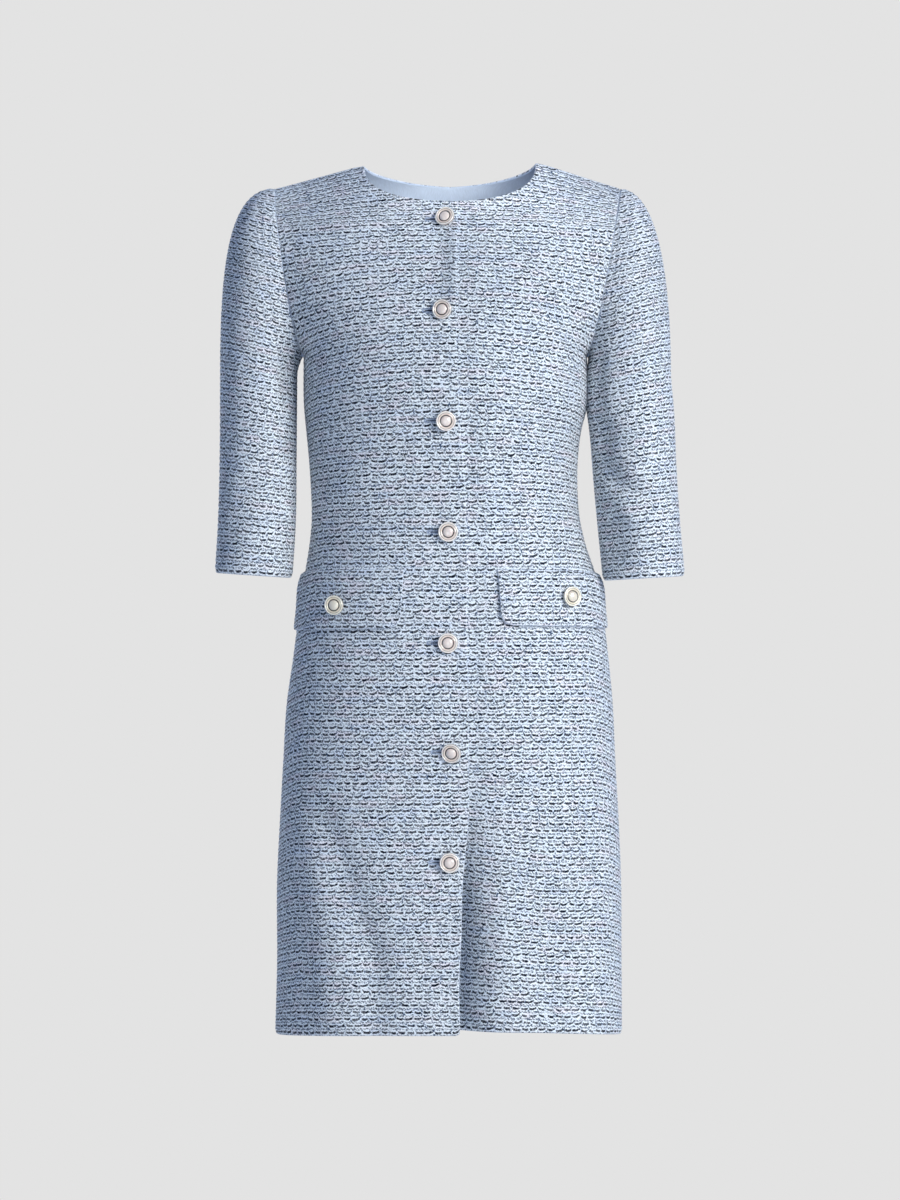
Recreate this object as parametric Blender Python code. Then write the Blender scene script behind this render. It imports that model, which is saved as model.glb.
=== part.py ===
"""A knitted sheath dress with a full button placket, three-quarter sleeves and two pocket flaps.

The dress stands filled out, as worn. Its origin lies midway between the two points where the
shoulder seams meet the neck. +Z is up, the front faces -Y, and +X is the wearer's left side.
Lengths in the tables are millimetres, and MM turns them into Blender's metres.

Each panel is a flat slab whose points carry two numbers: across (0 at the centre edge, 1 at the
side seam or armhole) and row (0 at the hem, 1 at the underarm, 2 at the shoulder seam). A row is
one smooth curve from the panel's centre edge to its side edge, and the slab is bent on to them.
"""
import math
from collections import namedtuple

import bmesh
import bpy
import numpy as np

MM = 0.001

# Driving sizes ------------------------------------------------------------------------------
WALL = 2.4                # the knitted cloth
SEAM_GAP = 0.4            # room between two pieces that are sewn together
LAP_GAP = 1.2             # room between the two fronts under the placket
UNDERARM_Z = -200.0
HEM_SIDE_Z = -912.0
NECK_HALF = 90.0
NECK_RISE = 3.2           # the wearer's left shoulder point stands this much higher
SHOULDER_DROP = 25.0
ARMHOLE_DEEP = 70.0       # how far the armhole's curve is drawn forward and back
SEAM_LEAN = 0.35          # the armhole seam's allowance leans this much towards the body
MITRE = 1.1               # and is this much longer than the wall is thick

Neck = namedtuple("Neck", "drop depth drop_power depth_power")
FRONT_NECK = Neck(43.0, 75.0, 2.4, 3.0)
BACK_NECK = Neck(19.5, 50.0, 1.5, 2.6)

# The side seams, from hem to underarm: distance from the centre to the wearer's right and left.
Side = namedtuple("Side", "z right left")
SIDES = (
    Side(-912, 183.5, 180.5),
    Side(-835, 181.5, 180.0),
    Side(-750, 181.5, 179.5),
    Side(-688, 178.5, 177.0),
    Side(-625, 175.0, 173.5),
    Side(-562, 171.0, 170.5),
    Side(-520, 165.0, 166.5),
    Side(-478, 159.5, 161.5),
    Side(-436, 153.5, 154.5),
    Side(-394, 147.0, 141.0),
    Side(-373, 145.0, 136.5),
    Side(-341, 146.0, 133.8),
    Side(-310, 148.0, 134.2),
    Side(-278, 151.0, 138.0),
    Side(-257, 153.0, 143.3),
    Side(-200, 153.7, 143.9),
)

# The middle of the front and of the back, seen from the side, and how square each level is.
Profile = namedtuple("Profile", "z front back flat corner")
PROFILE = (
    Profile(-912, 122, 100, 0.66, 0.60),
    Profile(-800, 121, 101, 0.66, 0.60),
    Profile(-700, 120, 102, 0.66, 0.60),
    Profile(-600, 119, 108, 0.64, 0.58),
    Profile(-540, 117, 107, 0.62, 0.57),
    Profile(-460, 110, 92, 0.60, 0.56),
    Profile(-400, 103, 78, 0.60, 0.55),
    Profile(-350, 101, 72, 0.60, 0.55),
    Profile(-300, 108, 77, 0.61, 0.55),
    Profile(-225, 121, 88, 0.64, 0.55),
    Profile(-170, 115, 90, 0.62, 0.55),
    Profile(-100, 95, 82, 0.58, 0.50),
    Profile(-60, 81, 67, 0.55, 0.45),
    Profile(-43, 75, 59, 0.55, 0.45),
    Profile(-19.5, 66, 50, 0.55, 0.45),
)

# The placket's edge, down the middle of the front.
Edge = namedtuple("Edge", "z x")
PLACKET_EDGE = (
    Edge(-907, 10.5),
    Edge(-850, 9.5),
    Edge(-811, 11.5),
    Edge(-743, 13.5),
    Edge(-713, 16.5),
    Edge(-678, 19.6),
    Edge(-631, 19.6),
    Edge(-486, 17.5),
    Edge(-359, 16.5),
    Edge(-271, 10.3),
    Edge(-158, 6.2),
    Edge(-43, 8.0),
)
# How far the left front runs on past the middle, hidden below the placket.
UNDERLAP = (
    Edge(-912, 17.0),
    Edge(-400, 17.0),
    Edge(-90, 16.0),
    Edge(-43, 6.0),
)

# The vent: below the last button the left front falls back behind the placket. crease says how
# sharply it turns there: 0 is a soft wave, 1 is steepest at the placket's edge.
Vent = namedtuple("Vent", "z depth reach crease")
VENT = (
    Vent(-912, 15, 62, 1.0),
    Vent(-850, 17, 64, 1.0),
    Vent(-790, 13, 58, 1.0),
    Vent(-735, 6, 46, 1.0),
    Vent(-680, 2, 34, 0.6),
    Vent(-640, 0.6, 28, 0.2),
    Vent(-560, 0, 26, 0.0),
    Vent(-43, 0, 26, 0.0),
)

# A front's own sizes. side is -1 on the wearer's right and +1 on the wearer's left.
Front = namedtuple("Front", "side hem_z laps_over")
RIGHT_FRONT = Front(-1, -905.5, True)
LEFT_FRONT = Front(1, -902.0, False)
BACK_HEM_Z = -911.0

# The armhole, as a curve from the underarm to the shoulder: how far out its points are drawn.
# The sleeve's cap leaves the shoulder by cap_out and cap_rise, and arrives from cap_fall above.
Armhole = namedtuple("Armhole", "underarm low high shoulder cap_out cap_rise cap_fall")
ARMHOLES = {
    -1: Armhole(153.7, 162.0, 188.0, 182.5, 54.0, 4.0, 98.0),
    1: Armhole(143.9, 151.0, 179.0, 178.5, 43.0, -1.5, 90.0),
}
ARMHOLE_HIGH_Z = -31.0

# The sleeves below the armhole: inner and outer side, seen from the front, then middle and depth,
# seen from the side.
Ring = namedtuple("Ring", "z inner outer middle depth")
SLEEVES = {
    -1: (
        Ring(-431, 165.0, 246.2, -17, 46),
        Ring(-375, 161.7, 243.2, -10, 49),
        Ring(-300, 160.9, 241.6, -4, 52),
        Ring(-222, 160.3, 241.4, 0, 55),
    ),
    1: (
        Ring(-434, 160.2, 246.0, -17, 46),
        Ring(-375, 154.4, 241.0, -10, 49),
        Ring(-315, 149.2, 237.4, -5, 52),
        Ring(-262, 146.4, 235.4, -2, 54),
        Ring(-222, 145.1, 232.0, 0, 55),
    ),
}
CapUnderarm = namedtuple("CapUnderarm", "cap_out cap_rise cap_fall")
CAP_UNDERARM = CapUnderarm(3.0, -6.0, 8.0)
CAP_FORWARD = 9.0         # the cap's front and back bulge this much past the armhole
CUFF_TILT = 2.6           # the cuff's inner side hangs lower than its outer side by twice this
CAP_ROWS = 0.42           # the share of a sleeve's rows that lies in its cap

PANEL_FADE = (0.16, 0.3)  # folds die out this near to the side and the shoulder seam of a panel
SLEEVE_FADE = (0.4, 0.08) # and this near to the armhole and the cuff of a sleeve
SLEEVE_ARC = 0.85         # millimetres a degree round a sleeve

# Soft folds and ridges: a line on the piece, its half width, and how far it stands out.
# On panels the line is in x and z, on sleeves in degrees from the underarm (90 is the front) and z.
Fold = namedtuple("Fold", "piece start end width height")
FOLDS = (
    Fold("front_right", (9, -90), (8, -128), 13, 4.4),
    Fold("front_right", (8, -190), (10, -236), 15, 1.5),
    Fold("front_right", (-128, -695), (-84, -815), 17, -5.5),
    Fold("front_right", (-142, -715), (-124, -880), 20, 3.5),
    Fold("front_right", (-80, -830), (-76, -912), 16, -4.0),
    Fold("front_right", (-154, -820), (-158, -912), 20, -3.0),
    Fold("front_right", (-120, -395), (-60, -360), 22, -2.5),
    Fold("front_right", (-150, -372), (-95, -330), 18, 2.5),
    Fold("front_left", (120, -350), (58, -385), 22, -2.5),
    Fold("front_left", (132, -300), (90, -262), 20, -3.0),
    Fold("front_left", (104, -760), (92, -912), 30, -4.0),
    Fold("front_left", (150, -720), (148, -912), 24, 3.0),
    Fold("back", (-70, -345), (70, -350), 15, -5.0),
    Fold("back", (-95, -318), (-20, -312), 14, 3.0),
    Fold("back", (20, -312), (95, -318), 14, 3.0),
    Fold("back", (-96, -650), (-84, -912), 26, -6.0),
    Fold("back", (88, -620), (100, -912), 28, -6.0),
    Fold("back", (2, -700), (-4, -912), 34, 4.0),
    Fold("sleeve_left", (30, -318), (112, -356), 11, -5.0),
    Fold("sleeve_left", (40, -345), (100, -385), 12, 3.0),
    Fold("sleeve_left", (40, -278), (100, -300), 11, -2.5),
    Fold("sleeve_left", (225, -300), (320, -330), 12, -3.5),
    Fold("sleeve_right", (35, -300), (105, -335), 12, -3.5),
    Fold("sleeve_right", (45, -350), (120, -372), 12, -2.5),
    Fold("sleeve_right", (225, -310), (320, -335), 12, -3.5),
)

# Pocket flaps: inner edge, the share of the front's row at which they end, top, bottom and width.
Flap = namedtuple("Flap", "side inner_x outer_share top_z bottom_z width")
FLAPS = {
    "pocket_flap_right": Flap(-1, -47.5, 0.962, -425.0, -487.0, 148.0),
    "pocket_flap_left": Flap(1, 48.4, 0.955, -425.0, -484.0, 152.0),
}
FLAP_THICK = 2.6
FLAP_CORNER = 11.0
FLAP_SPREAD = 0.55        # how strongly its columns gather towards its ends
FLAP_LIFT = (0.5, 1.8)    # how far the flap stands off the front, at its top and at its bottom
FLAP_SWELL = 2.6          # and how much further near its upper outer corner

# Facing inside the back neck.
FACING_THICK = 1.2
FACING_GAP = 0.9
FACING_DEEP = 0.13        # its depth down the middle, in rows
FACING_WIDE = 0.40        # and along the shoulder seam, as a share of the seam
FACING_END = (1.97, 1.99) # its two corners at the shoulder seam, in rows

# Buttons: what each is sewn on, where, and how it leans, in degrees towards the
# wearer's left and upwards. Each hangs loose on its shank, so it turns from the cloth's direction.
Button = namedtuple("Button", "name on x z lean_left lean_up")
BUTTONS = (
    Button("placket_button_1", "front_right", -4.1, -61.8, -20, 24),
    Button("placket_button_2", "front_right", -7.0, -158.1, -17, 5),
    Button("placket_button_3", "front_right", -4.6, -272.0, 5, -4),
    Button("placket_button_4", "front_right", -1.7, -386.6, -3, 1),
    Button("placket_button_5", "front_right", -2.1, -501.0, -2, -3),
    Button("placket_button_6", "front_right", 2.2, -613.4, -14, -16),
    Button("placket_button_7", "front_right", -0.2, -726.8, -3, -5),
    Button("flap_button_right", "pocket_flap_right", -115.4, -462.7, -20, -2),
    Button("flap_button_left", "pocket_flap_left", 121.5, -454.0, 28, 3),
)
BUTTON_SIDES = 14
BUTTON_CLEAR = 0.35
SHANK_RADIUS = 3.2
BUTTON_PROFILE = ((0.0, 0.0), (SHANK_RADIUS, 0.0), (SHANK_RADIUS, 2.4), (9.4, 2.7), (10.3, 3.9),
                  (10.4, 5.0), (9.3, 5.9), (7.2, 5.9), (5.9, 5.0), (5.1, 5.9), (3.2, 6.9), (0.0, 7.3))

# Mesh density: columns, then rows. A panel has rows up to the underarm, the neck and the shoulder.
PANEL_ROWS = (21, 7, 6)
FRONT_COLUMNS = 13
BACK_COLUMNS = 11         # each half
SLEEVE_GRID = (26, 16)
FLAP_GRID = (12, 4)
FACING_GRID = (20, 3)

CLOTH_BLUE = (0.42, 0.50, 0.60, 1.0)
FACING_BLUE = (0.60, 0.68, 0.82, 1.0)
PEARL = (0.82, 0.76, 0.70, 1.0)


# Small tools --------------------------------------------------------------------------------
def column(table, name):
    """One column of a table as an array."""
    return np.array([getattr(row, name) for row in table], dtype=float)


def smooth(table, name, z):
    """Read a column at heights z from a smooth curve through the table's rows."""
    heights, values = column(table, "z"), column(table, name)
    slopes = np.gradient(values, heights)
    z = np.clip(z, heights[0], heights[-1])
    low = np.clip(np.searchsorted(heights, z) - 1, 0, len(heights) - 2)
    step = heights[low + 1] - heights[low]
    t = (z - heights[low]) / step
    return ((1 + 2 * t) * (1 - t) ** 2 * values[low] + t * (1 - t) ** 2 * step * slopes[low]
            + t * t * (3 - 2 * t) * values[low + 1] - t * t * (1 - t) * step * slopes[low + 1])


def ease(t):
    """0 to 1 with a soft start and a soft end."""
    t = np.clip(t, 0, 1)
    return t * t * (3 - 2 * t)


def mix(a, b, t):
    return a + (b - a) * t


def points(x, y, z):
    """Three arrays or numbers as one array of points."""
    return np.stack(np.broadcast_arrays(np.asarray(x, float), y, z), axis=-1)


def unit(vectors):
    return vectors / np.maximum(np.linalg.norm(vectors, axis=-1, keepdims=True), 1e-9)


def bezier(start, leave, arrive, end, t):
    """A cubic curve at t, one curve for each point."""
    t = np.asarray(t)[..., None]
    return ((1 - t) ** 3 * start + 3 * (1 - t) ** 2 * t * leave
            + 3 * (1 - t) * t ** 2 * arrive + t ** 3 * end)


def fold_height(piece, a, b, unit_a=1.0):
    """How far the folds of a piece stand out at the places (a, b)."""
    total = np.zeros_like(a)
    for fold in FOLDS:
        if fold.piece != piece:
            continue
        start = np.array(fold.start) * (unit_a, 1.0)
        along = np.array(fold.end) * (unit_a, 1.0) - start
        length = np.hypot(*along)
        da, db = a * unit_a - start[0], b - start[1]
        t = (da * along[0] + db * along[1]) / length
        off = (da * along[1] - db * along[0]) / length
        beyond = np.maximum(np.maximum(-t, t - length), 0)
        total += fold.height * np.exp(-(off / fold.width) ** 2 - (beyond / (1.3 * fold.width)) ** 2)
    return total


# The neck, the armholes and the rows between them ---------------------------------------------
def neckline(neck, angle, face):
    """The neckline at an angle from the centre: 0 is the middle, 90 degrees the shoulder seam."""
    out = np.sin(angle)
    def curve(power):
        return np.clip(1 - np.abs(out) ** power, 0, 1) ** (1 / power)
    return points(NECK_HALF * out, face * neck.depth * curve(neck.depth_power),
                  -neck.drop * curve(neck.drop_power))


def armhole(side, face, t):
    """The armhole's edge, from the underarm at t = 0 to the shoulder seam at t = 1."""
    hole = ARMHOLES[side]
    return bezier(np.array((side * hole.underarm, 0.0, UNDERARM_Z)),
                  np.array((side * hole.low, face * ARMHOLE_DEEP, UNDERARM_Z)),
                  np.array((side * hole.high, face * ARMHOLE_DEEP, ARMHOLE_HIGH_Z)),
                  np.array((side * hole.shoulder, 0.0, -SHOULDER_DROP)), t)


def armhole_allowance(side, edge):
    """From the outer to the inner edge of the cloth along the armhole seam."""
    middle_z = (UNDERARM_Z - SHOULDER_DROP) / 2
    inward = unit(points(0 * edge[..., 0], -edge[..., 1], middle_z - edge[..., 2]))
    inward[..., 0] = -side * SEAM_LEAN
    return unit(inward) * WALL * MITRE


def side_line(side, face, row):
    """The outer end of each row: the side seam, then the armhole."""
    z = mix(HEM_SIDE_Z, UNDERARM_Z, np.clip(row, 0, 1))
    x = side * smooth(SIDES, "right" if side < 0 else "left", z)
    seam = points(x, 0.0, z)
    hole = armhole(side, face, np.clip(row - 1, 0, 1))
    return np.where((row > 1)[..., None], hole, seam)


def neck_row(neck):
    """The row that meets the neckline in the middle."""
    upright = -neck.drop - UNDERARM_Z
    return 1 + upright / (upright + math.hypot(neck.depth, NECK_HALF))


def centre_line(side, face, row, hem_z, neck):
    """The inner end of each row: straight up the middle, then along the neckline."""
    meet = neck_row(neck)
    share = np.clip((row - meet) / (2 - meet), 0, 1)
    z_low = mix(hem_z, UNDERARM_Z, np.clip(row, 0, 1))
    z_high = mix(UNDERARM_Z, -neck.drop, np.clip((row - 1) / (meet - 1), 0, 1))
    z = np.where(row > 1, z_high, z_low)
    depth = smooth(PROFILE, "front" if face < 0 else "back", z)
    edge = points(0.0, face * depth, z)
    curve = neckline(neck, share * math.pi / 2, face) * (side, 1, 1)
    curve[..., 2] += NECK_RISE * max(side, 0) * share ** 3
    return np.where((row > meet)[..., None], curve, edge)


def past_middle(lap, flat, span, row, z, meet):
    """Where a row starts so that its panel laps past the middle: a step back along its own curve."""
    wanted = lap(z) / span
    start = wanted / (3 * flat)
    for _ in range(4):
        reached = 3 * start * ((1 + start) ** 2 * flat - (1 + start) * start) + start ** 3
        start = start * np.where(wanted > 0, wanted / np.maximum(reached, 1e-6), 0)
    return start * np.clip((2 - row) / (2 - meet), 0, 1) ** 4


def panel(side, face, lap, hem_z, neck, across, row):
    """Outer points of a panel at across (0 centre, 1 side) and row (0 hem, 1 underarm, 2 shoulder).

    lap(z) is how far the panel's centre edge reaches past the middle, on to the other side.
    """
    inner = centre_line(side, face, row, hem_z, neck)
    outer = side_line(side, face, row)
    meet = neck_row(neck)
    z_level = np.where(row > 1, UNDERARM_Z, inner[..., 2])
    chest = np.clip(row - 1, 0, 1)
    turn = math.pi / 2 * (1 - chest) ** 1.3
    straight = ease((row - meet) / (2 - meet))
    flat = mix(smooth(PROFILE, "flat", z_level), 1 / 3, chest ** 1.5)
    corner = mix(1 / 3, smooth(PROFILE, "corner", z_level), np.sin(turn) ** 3)
    step = outer - inner
    span, deep, rise = np.abs(step[..., 0]), np.abs(step[..., 1]), step[..., 2]
    leave = inner + points(side * flat * span, flat * straight * step[..., 1], flat * straight * rise)
    reach = corner * (deep * np.sin(turn) + span * np.cos(turn))
    arrive = outer - points(side * reach * np.cos(turn), -face * reach * np.sin(turn), rise / 3)
    start = past_middle(lap, flat, span, row, inner[..., 2], meet)
    return bezier(inner, leave, arrive, outer, mix(-start, 1.0, across))


def lap_over(z):
    """How far the right front reaches past the middle."""
    return smooth(PLACKET_EDGE, "x", z)


def lap_under(z):
    """How far the left front reaches past the middle, below the right one."""
    return smooth(UNDERLAP, "x", z)


def no_lap(z):
    return 0 * np.asarray(z, float)


def outward(surface, across, row, inside):
    """The surface's outward direction, from two short steps on it."""
    small = 1e-3
    here = surface(across, row)
    by_across = surface(np.clip(across + small, 0, 1), row) - surface(np.clip(across - small, 0, 1), row)
    by_row = surface(across, np.clip(row + small, 0, 2)) - surface(across, np.clip(row - small, 0, 2))
    normal = unit(np.cross(by_across, by_row))
    flip = np.sum(normal * (here - inside), axis=-1) < 0
    return np.where(flip[..., None], -normal, normal)


def inside_of(place):
    """A point well inside the body, level with or below each place."""
    return place * (0.6, 0.0, 1.0) - np.array((0.0, 0.0, 50.0))


def front(name, across, row):
    """Outer points and outward directions of a front, with its lap, its vent and its folds."""
    own = RIGHT_FRONT if name == "front_right" else LEFT_FRONT
    lap = lap_over if own.laps_over else lap_under
    def plain(a, r):
        return panel(own.side, -1, lap, own.hem_z, FRONT_NECK, a, r)
    place = plain(across, row)
    direction = outward(plain, across, row, inside_of(place))
    x, z = place[..., 0], place[..., 2]
    height = fold_height(name, x, z) * seam_fade(across, row)
    place = place + direction * height[..., None]
    if not own.laps_over:
        past_edge = x - smooth(PLACKET_EDGE, "x", z)
        gone = np.clip((past_edge - 1.0) / smooth(VENT, "reach", z), 0, 1)
        under = mix(1 - ease(gone), (1 - gone) ** 2, smooth(VENT, "crease", z))
        place[..., 1] += under * (WALL + LAP_GAP + smooth(VENT, "depth", z))
    return place, direction


def back(half, across, row):
    """Outer points and outward directions of one half of the back, with its folds."""
    def plain(a, r):
        return panel(half, 1, no_lap, BACK_HEM_Z, BACK_NECK, a, r)
    place = plain(across, row)
    direction = outward(plain, across, row, inside_of(place))
    height = fold_height("back", place[..., 0], place[..., 2]) * seam_fade(across, row)
    return place + direction * height[..., None], direction


def seam_fade(across, row):
    """Folds die out towards the side seam, the armhole and the shoulder seam."""
    return ease((1 - across) / PANEL_FADE[0]) * ease((2 - row) / PANEL_FADE[1])


def finish_panel(side, face, across, row, place, direction):
    """Leave room at the seams, and give each point the way through the cloth."""
    through = -direction * WALL
    at_side = across > 1 - 1e-6
    at_shoulder = row > 2 - 1e-6
    at_hem = row < 1e-6
    in_hole = at_side & (row > 1 - 1e-6)
    seam = (at_side | at_shoulder)[..., None]
    through = np.where(seam, unit(through * (1, 0, 1)) * WALL, through)
    through = np.where(at_hem[..., None], unit(through * (1, 1, 0)) * WALL, through)
    through = np.where(in_hole[..., None], armhole_allowance(side, place), through)
    place = place + np.where(seam, (0, face * SEAM_GAP / 2, 0), 0)
    place = place + np.where(in_hole[..., None], (-side * SEAM_GAP / 2, 0, 0), 0)
    return place, through


# The sleeve -----------------------------------------------------------------------------------
def armhole_share(share, neck):
    """Spread a sleeve's columns round the armhole as the panel's rows meet it."""
    below, above = PANEL_ROWS[1], PANEL_ROWS[2]
    return np.interp(share, (0, below / (below + above), 1), (0, neck_row(neck) - 1, 1))


def sleeve(side, around, down):
    """Outer points of a sleeve: around from the underarm by the front, down from armhole to cuff."""
    angle = around * 2 * math.pi
    rings = SLEEVES[side]
    by_front = armhole(side, -1, armhole_share(around * 2, FRONT_NECK))
    by_back = armhole(side, 1, armhole_share((1 - around) * 2, BACK_NECK))
    edge = np.where((around <= 0.5)[..., None], by_front, by_back)
    edge = edge + np.array((side * SEAM_GAP / 2, 0, 0))
    top_z, cuff_z = rings[-1].z, rings[0].z
    length = np.clip((down - CAP_ROWS) / (1 - CAP_ROWS), 0, 1)
    z = mix(top_z, cuff_z, length)
    inner, outer = smooth(rings, "inner", z), smooth(rings, "outer", z)
    half = (outer - inner) / 2
    middle, depth = smooth(rings, "middle", z), smooth(rings, "depth", z)
    tilt = CUFF_TILT * length * np.cos(angle)
    tube = points(side * (inner + half - half * np.cos(angle)), middle - depth * np.sin(angle), z - tilt)
    high = (1 - np.cos(angle)) / 2
    hole = ARMHOLES[side]
    leave = edge + points(side * mix(CAP_UNDERARM.cap_out, hole.cap_out, high),
                          -CAP_FORWARD * np.sin(angle),
                          mix(CAP_UNDERARM.cap_rise, hole.cap_rise, high))
    arrive = tube + points(0.0, 0.0, mix(CAP_UNDERARM.cap_fall, hole.cap_fall, high))
    cap = bezier(edge, leave, arrive, tube, np.clip(down / CAP_ROWS, 0, 1))
    return np.where((down > CAP_ROWS)[..., None], tube, cap)


def sleeve_with_folds(name, side, around, down):
    """Outer points of a sleeve with its folds, and the way through its cloth."""
    def plain(a, d):
        return sleeve(side, a, d)
    place = plain(around, down)
    small = 1e-3
    by_around = plain((around + small) % 1, down) - plain((around - small) % 1, down)
    by_down = plain(around, np.clip(down + small, 0, 1)) - plain(around, np.clip(down - small, 0, 1))
    direction = unit(np.cross(by_down, by_around)) * side
    height = fold_height(name, around * 360, place[..., 2], unit_a=SLEEVE_ARC)
    fade = ease(down / SLEEVE_FADE[0]) * ease((1 - down) / SLEEVE_FADE[1])
    place = place + direction * (height * fade)[..., None]
    through = -direction * WALL
    through = np.where((down < 1e-6)[..., None], armhole_allowance(side, place), through)
    through = np.where((down > 1 - 1e-6)[..., None], unit(through * (1, 1, 0)) * WALL, through)
    return place, through


# Meshes ---------------------------------------------------------------------------------------
def clear_scene():
    for thing in list(bpy.data.objects):
        bpy.data.objects.remove(thing)


def material(name, colour, roughness):
    made = bpy.data.materials.new(name)
    made.use_nodes = True
    shader = made.node_tree.nodes["Principled BSDF"]
    shader.inputs["Base Color"].default_value = colour
    shader.inputs["Roughness"].default_value = roughness
    shader.inputs["Metallic"].default_value = 0.0
    return made


def flat_grid(columns, rows, first=0.0, last=1.0):
    """A flat sheet whose points carry their place: across from first to last, and up from 0 to 1."""
    mesh = bmesh.new()
    bmesh.ops.create_grid(mesh, x_segments=columns, y_segments=rows, size=0.5)
    place = mesh.verts.layers.float_vector.new("place")
    for vertex in mesh.verts:
        vertex[place] = (mix(first, last, vertex.co.x + 0.5), vertex.co.y + 0.5, 0.0)
    return mesh


def read_places(mesh):
    """The two place numbers of every point, as arrays."""
    place = mesh.verts.layers.float_vector["place"]
    marks = np.array([tuple(vertex[place]) for vertex in mesh.verts])
    return marks[:, 0], marks[:, 1]


def put_points(verts, places):
    for vertex, spot in zip(verts, places):
        vertex.co = [value * MM for value in spot]


def thicken(mesh, places, through):
    """Lay the sheet's points at their places and extrude it through the cloth's thickness."""
    mesh.verts.index_update()
    number = mesh.verts.layers.int.new("number")
    for vertex in mesh.verts:
        vertex[number] = vertex.index
    put_points(mesh.verts, places)
    made = bmesh.ops.extrude_face_region(mesh, geom=mesh.faces[:])["geom"]
    inner = [item for item in made if isinstance(item, bmesh.types.BMVert)]
    put_points(inner, [places[vertex[number]] + through[vertex[number]] for vertex in inner])


def finish_mesh(mesh, name, surface, crease=40):
    """Turn a bmesh into a named object with its faces pointing out."""
    bmesh.ops.recalc_face_normals(mesh, faces=mesh.faces[:])
    data = bpy.data.meshes.new(name)
    mesh.to_mesh(data)
    mesh.free()
    data.shade_smooth()
    data.set_sharp_from_angle(angle=math.radians(crease))
    data.materials.append(surface)
    made = bpy.data.objects.new(name, data)
    bpy.context.collection.objects.link(made)
    return made


def panel_row(up, neck):
    """Rows of the grid that fall exactly on the underarm, the neck and the shoulder seam."""
    steps = np.cumsum((0,) + PANEL_ROWS) / sum(PANEL_ROWS)
    return np.interp(up, steps, (0.0, 1.0, neck_row(neck), 2.0))


def make_front(name, cloth):
    own = RIGHT_FRONT if name == "front_right" else LEFT_FRONT
    mesh = flat_grid(FRONT_COLUMNS, sum(PANEL_ROWS))
    across, up = read_places(mesh)
    row = panel_row(up, FRONT_NECK)
    places, direction = front(name, across, row)
    places, through = finish_panel(own.side, -1, across, row, places, direction)
    thicken(mesh, places, through)
    return finish_mesh(mesh, name, cloth)


def make_back(cloth):
    """Two halves, welded down the middle up to the neck, then thickened as one."""
    mesh = flat_grid(BACK_COLUMNS, sum(PANEL_ROWS), first=-1.0, last=0.0)
    other = flat_grid(BACK_COLUMNS, sum(PANEL_ROWS))
    data = bpy.data.meshes.new("half")
    other.to_mesh(data)
    mesh.from_mesh(data)
    other.free()
    signed, up = read_places(mesh)
    half = np.where(np.arange(len(signed)) < len(signed) // 2, -1, 1)
    across = np.abs(signed)
    row = panel_row(up, BACK_NECK)
    places = np.zeros((len(signed), 3))
    through = np.zeros((len(signed), 3))
    for side in (-1, 1):
        chosen = half == side
        spots, direction = back(side, across[chosen], row[chosen])
        spots, wall = finish_panel(side, 1, across[chosen], row[chosen], spots, direction)
        places[chosen], through[chosen] = spots, wall
    keep = mesh.verts.layers.float_vector.new("through")
    for vertex, wall in zip(mesh.verts, through):
        vertex[keep] = wall
    put_points(mesh.verts, places)
    bmesh.ops.remove_doubles(mesh, verts=mesh.verts[:], dist=0.01 * MM)
    places = np.array([tuple(vertex.co / MM) for vertex in mesh.verts])
    through = np.array([tuple(vertex[keep]) for vertex in mesh.verts])
    thicken(mesh, places, through)
    return finish_mesh(mesh, "back", cloth)


def make_sleeve(name, side, cloth):
    """A grid closed into a tube, then thickened."""
    mesh = flat_grid(*SLEEVE_GRID)
    for vertex in mesh.verts:
        angle = (vertex.co.x + 0.5) * 2 * math.pi
        vertex.co = (math.cos(angle), math.sin(angle), vertex.co.y)
    bmesh.ops.remove_doubles(mesh, verts=mesh.verts[:], dist=MM)
    around, up = read_places(mesh)
    places, through = sleeve_with_folds(name, side, around % 1, 1 - up)
    thicken(mesh, places, through)
    return finish_mesh(mesh, name, cloth)


def locate(name, x, z):
    """The across and row of the point of a front that is seen at x and z, by Newton's steps."""
    side = RIGHT_FRONT.side if name == "front_right" else LEFT_FRONT.side
    small = 1e-3
    across = np.array([0.1 if side * x < 60 else 0.5])
    row = np.array([(z - HEM_SIDE_Z) / (UNDERARM_Z - HEM_SIDE_Z)])
    for _ in range(10):
        here = front(name, across, row)[0][0]
        by_across = (front(name, across + small, row)[0][0] - here) / small
        by_row = (front(name, across, row + small)[0][0] - here) / small
        slopes = np.array(((by_across[0], by_row[0]), (by_across[2], by_row[2])))
        step = np.linalg.solve(slopes, (x - here[0], z - here[2]))
        across = np.clip(across + np.clip(step[0], -0.3, 0.3), 0.0, 0.97)
        row = np.clip(row + np.clip(step[1], -0.3, 0.3), 0.0, 1.97)
    return across, row


def make_flap(name, cloth):
    """A flap bent on to its front: the front's own points, moved out, with rounded lower corners."""
    own = FLAPS[name]
    panel_name = "front_right" if own.side < 0 else "front_left"
    mesh = flat_grid(*FLAP_GRID)
    along, up = read_places(mesh)
    first, top_row = locate(panel_name, own.inner_x, own.top_z)
    across = mix(first[0], own.outer_share, corner_spread(along))
    spread = corner_spread(along)
    to_end = np.minimum(spread, 1 - spread) * own.width
    short = np.clip(FLAP_CORNER - to_end, 0, FLAP_CORNER)
    cut = FLAP_CORNER - np.sqrt(np.clip(FLAP_CORNER ** 2 - short ** 2, 0, None))
    row_per_mm = 1 / (UNDERARM_Z - HEM_SIDE_Z)
    row = top_row[0] - (1 - up) * (own.top_z - own.bottom_z - cut) * row_per_mm
    places, direction = front(panel_name, across, row)
    lift = flap_lift(spread, up) + FLAP_THICK
    places = places + direction * lift[:, None]
    thicken(mesh, places, -direction * FLAP_THICK)
    return finish_mesh(mesh, name, cloth)


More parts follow.
